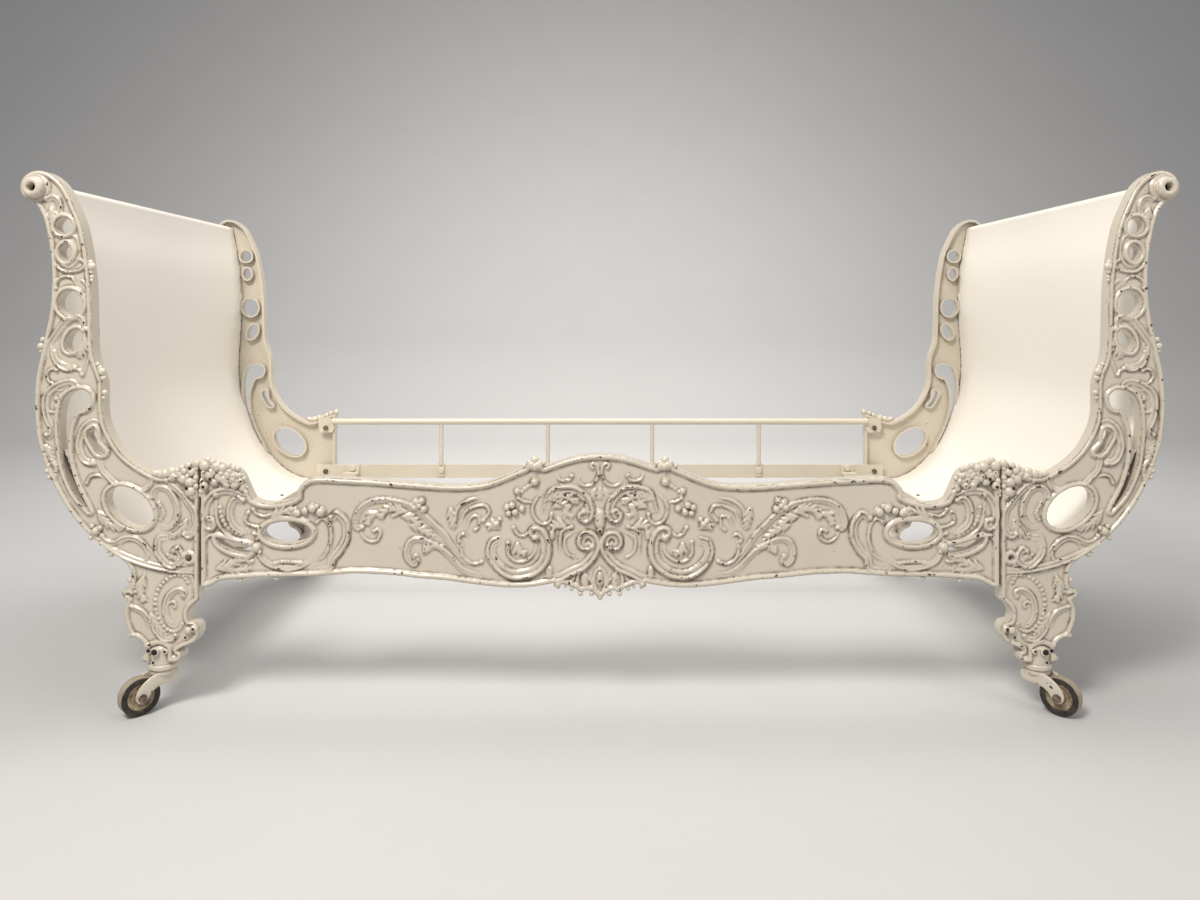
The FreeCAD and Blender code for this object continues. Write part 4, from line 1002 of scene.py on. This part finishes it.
def makeCasters():
    joints = {joint["name"]: joint for joint in frame["record"]["behaviour"]["joints"]}
    stem = joints["right_front_swivel"]["pos_m"]
    roll = joints["right_front_roll"]
    fork = makeFork(stem, math.atan2(roll["axis"][1], roll["axis"][0]))
    discHalf, tyreHalf = wheelShape["disc"], wheelShape["tyre"]
    tyreWhole = tyreHalf + [(radius, -out) for radius, out in reversed(tyreHalf)]
    discWhole = discHalf + [(radius, -out) for radius, out in reversed(discHalf)]
    tyre = spunPiece("right_front_caster_tread", tyreWhole, roll["pos_m"], roll["axis"], treadWorn, 56)
    layer = tyre.data.attributes.new("tread", "FLOAT", "POINT")
    centre, axis = Vector(roll["pos_m"]), Vector(roll["axis"])
    for index, vertex in enumerate(tyre.data.vertices):
        arm = vertex.co - centre
        radius = (arm - axis * arm.dot(axis)).length / mm
        layer.data[index].value = 1.0 if radius > wheelShape["treadFrom"] else 0.0
    disc = spunPiece("right_front_caster_centre", discWhole, roll["pos_m"], roll["axis"], wheelWood, 48)
    for side in ("right", "left"):
        for end in ("front", "rear"):
            here = side + "_" + end
            for first, title, node, body, slot in (
                    (fork, "_caster_shell", "_caster_horn", "_caster_fork", "caster_iron"),
                    (disc, "_caster_centre", "_caster_disc", "_caster_wheel", "caster_disc"),
                    (tyre, "_caster_tread", "_caster_tyre", "_caster_wheel", "caster_tyre")):
                piece = first
                if here != "right_front":
                    piece = mirroredCopy(first, here + title, side == "left", end == "rear")
                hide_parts(here + node)
                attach(piece, here + body)


makeCasters()
print("casters made")


studio = {
    "floorSize": 14, "floorTones": ((0.50, 0.495, 0.49), (0.53, 0.525, 0.52)), "floorRoughness": 0.75,
    "sweepFrom": 3.0, "sweepRise": 0.35,     # the backdrop starts this far behind the middle
    "lampColour": (1.0, 0.97, 0.93), "skyColour": (0.86, 0.87, 0.90, 1), "skyStrength": 0.33,
    "lamps": (   # name, place, aim, size, watts
        ("keyLamp", (-1.1, -2.3, 3.1), (0, 0, 0.4), 1.0, 122),
        ("fillLamp", (2.6, -2.2, 2.2), (0, 0, 0.4), 1.6, 26),
        ("topLamp", (0.2, 0.2, 3.0), (0, 0, 0.4), 2.0, 40),
        ("backdropLamp", (0.0, 1.4, 3.0), (0, 4.2, 1.2), 2.6, 120),
    ),
}
viewpoint = {"sensor": 36.0, "lens": 26.33, "shift": -0.1125, "inFront": 1.52, "height": 0.685}


def makeStudio():
    floorMaterial, tree, shader = newMaterial("floorPaint")
    coords = newNode(tree, "ShaderNodeTexCoord", -800, 0).outputs["Object"]
    mottle = noiseNode(tree, -600, 0, coords, 3.0)
    colour = mixColour(tree, -300, 0, mottle, *studio["floorTones"])
    tree.links.new(colour, shader.inputs["Base Color"])
    shader.inputs["Roughness"].default_value = studio["floorRoughness"]
    deselectAll()
    bpy.ops.mesh.primitive_plane_add(size=studio["floorSize"], location=(0, 0, -0.0005))
    floor = bpy.context.object
    floor.name = "floor"
    bpy.ops.object.mode_set(mode="EDIT")
    bpy.ops.mesh.subdivide(number_cuts=9)
    bpy.ops.object.mode_set(mode="OBJECT")
    for vertex in floor.data.vertices:      # the far side sweeps up into a backdrop
        rise = max(vertex.co.y - studio["sweepFrom"], 0.0)
        vertex.co.z += rise * rise * studio["sweepRise"]
    bpy.ops.object.transform_apply(location=True, rotation=False, scale=False)
    bpy.ops.object.shade_smooth()
    giveMaterial(floor, floorMaterial)
    for name, place, aim, size, watts in studio["lamps"]:
        lamp = bpy.data.lights.new(name, "AREA")
        lamp.size = size
        lamp.energy = watts
        lamp.color = studio["lampColour"]
        holder = bpy.data.objects.new(name, lamp)
        holder.location = place
        holder.rotation_euler = (Vector(aim) - Vector(place)).to_track_quat("-Z", "Y").to_euler()
        bpy.context.scene.collection.objects.link(holder)
    world = bpy.data.worlds.new("studioLight")
    world.use_nodes = True
    sky = world.node_tree.nodes["Background"]
    sky.inputs["Color"].default_value = studio["skyColour"]
    sky.inputs["Strength"].default_value = studio["skyStrength"]
    bpy.context.scene.world = world


def makeCamera():
    bpy.context.scene.view_settings.view_transform = "Standard"
    view = bpy.data.cameras.new("viewCamera")
    view.sensor_width = viewpoint["sensor"]
    view.lens = viewpoint["lens"]
    view.shift_y = viewpoint["shift"]
    view.clip_start = 0.05
    camera = bpy.data.objects.new("viewCamera", view)
    camera.location = (0.0, -castFace - viewpoint["inFront"], viewpoint["height"])
    camera.rotation_euler = (math.radians(90), 0, 0)
    bpy.context.scene.collection.objects.link(camera)
    bpy.context.scene.camera = camera


makeStudio()
makeCamera()
print("studio ready")
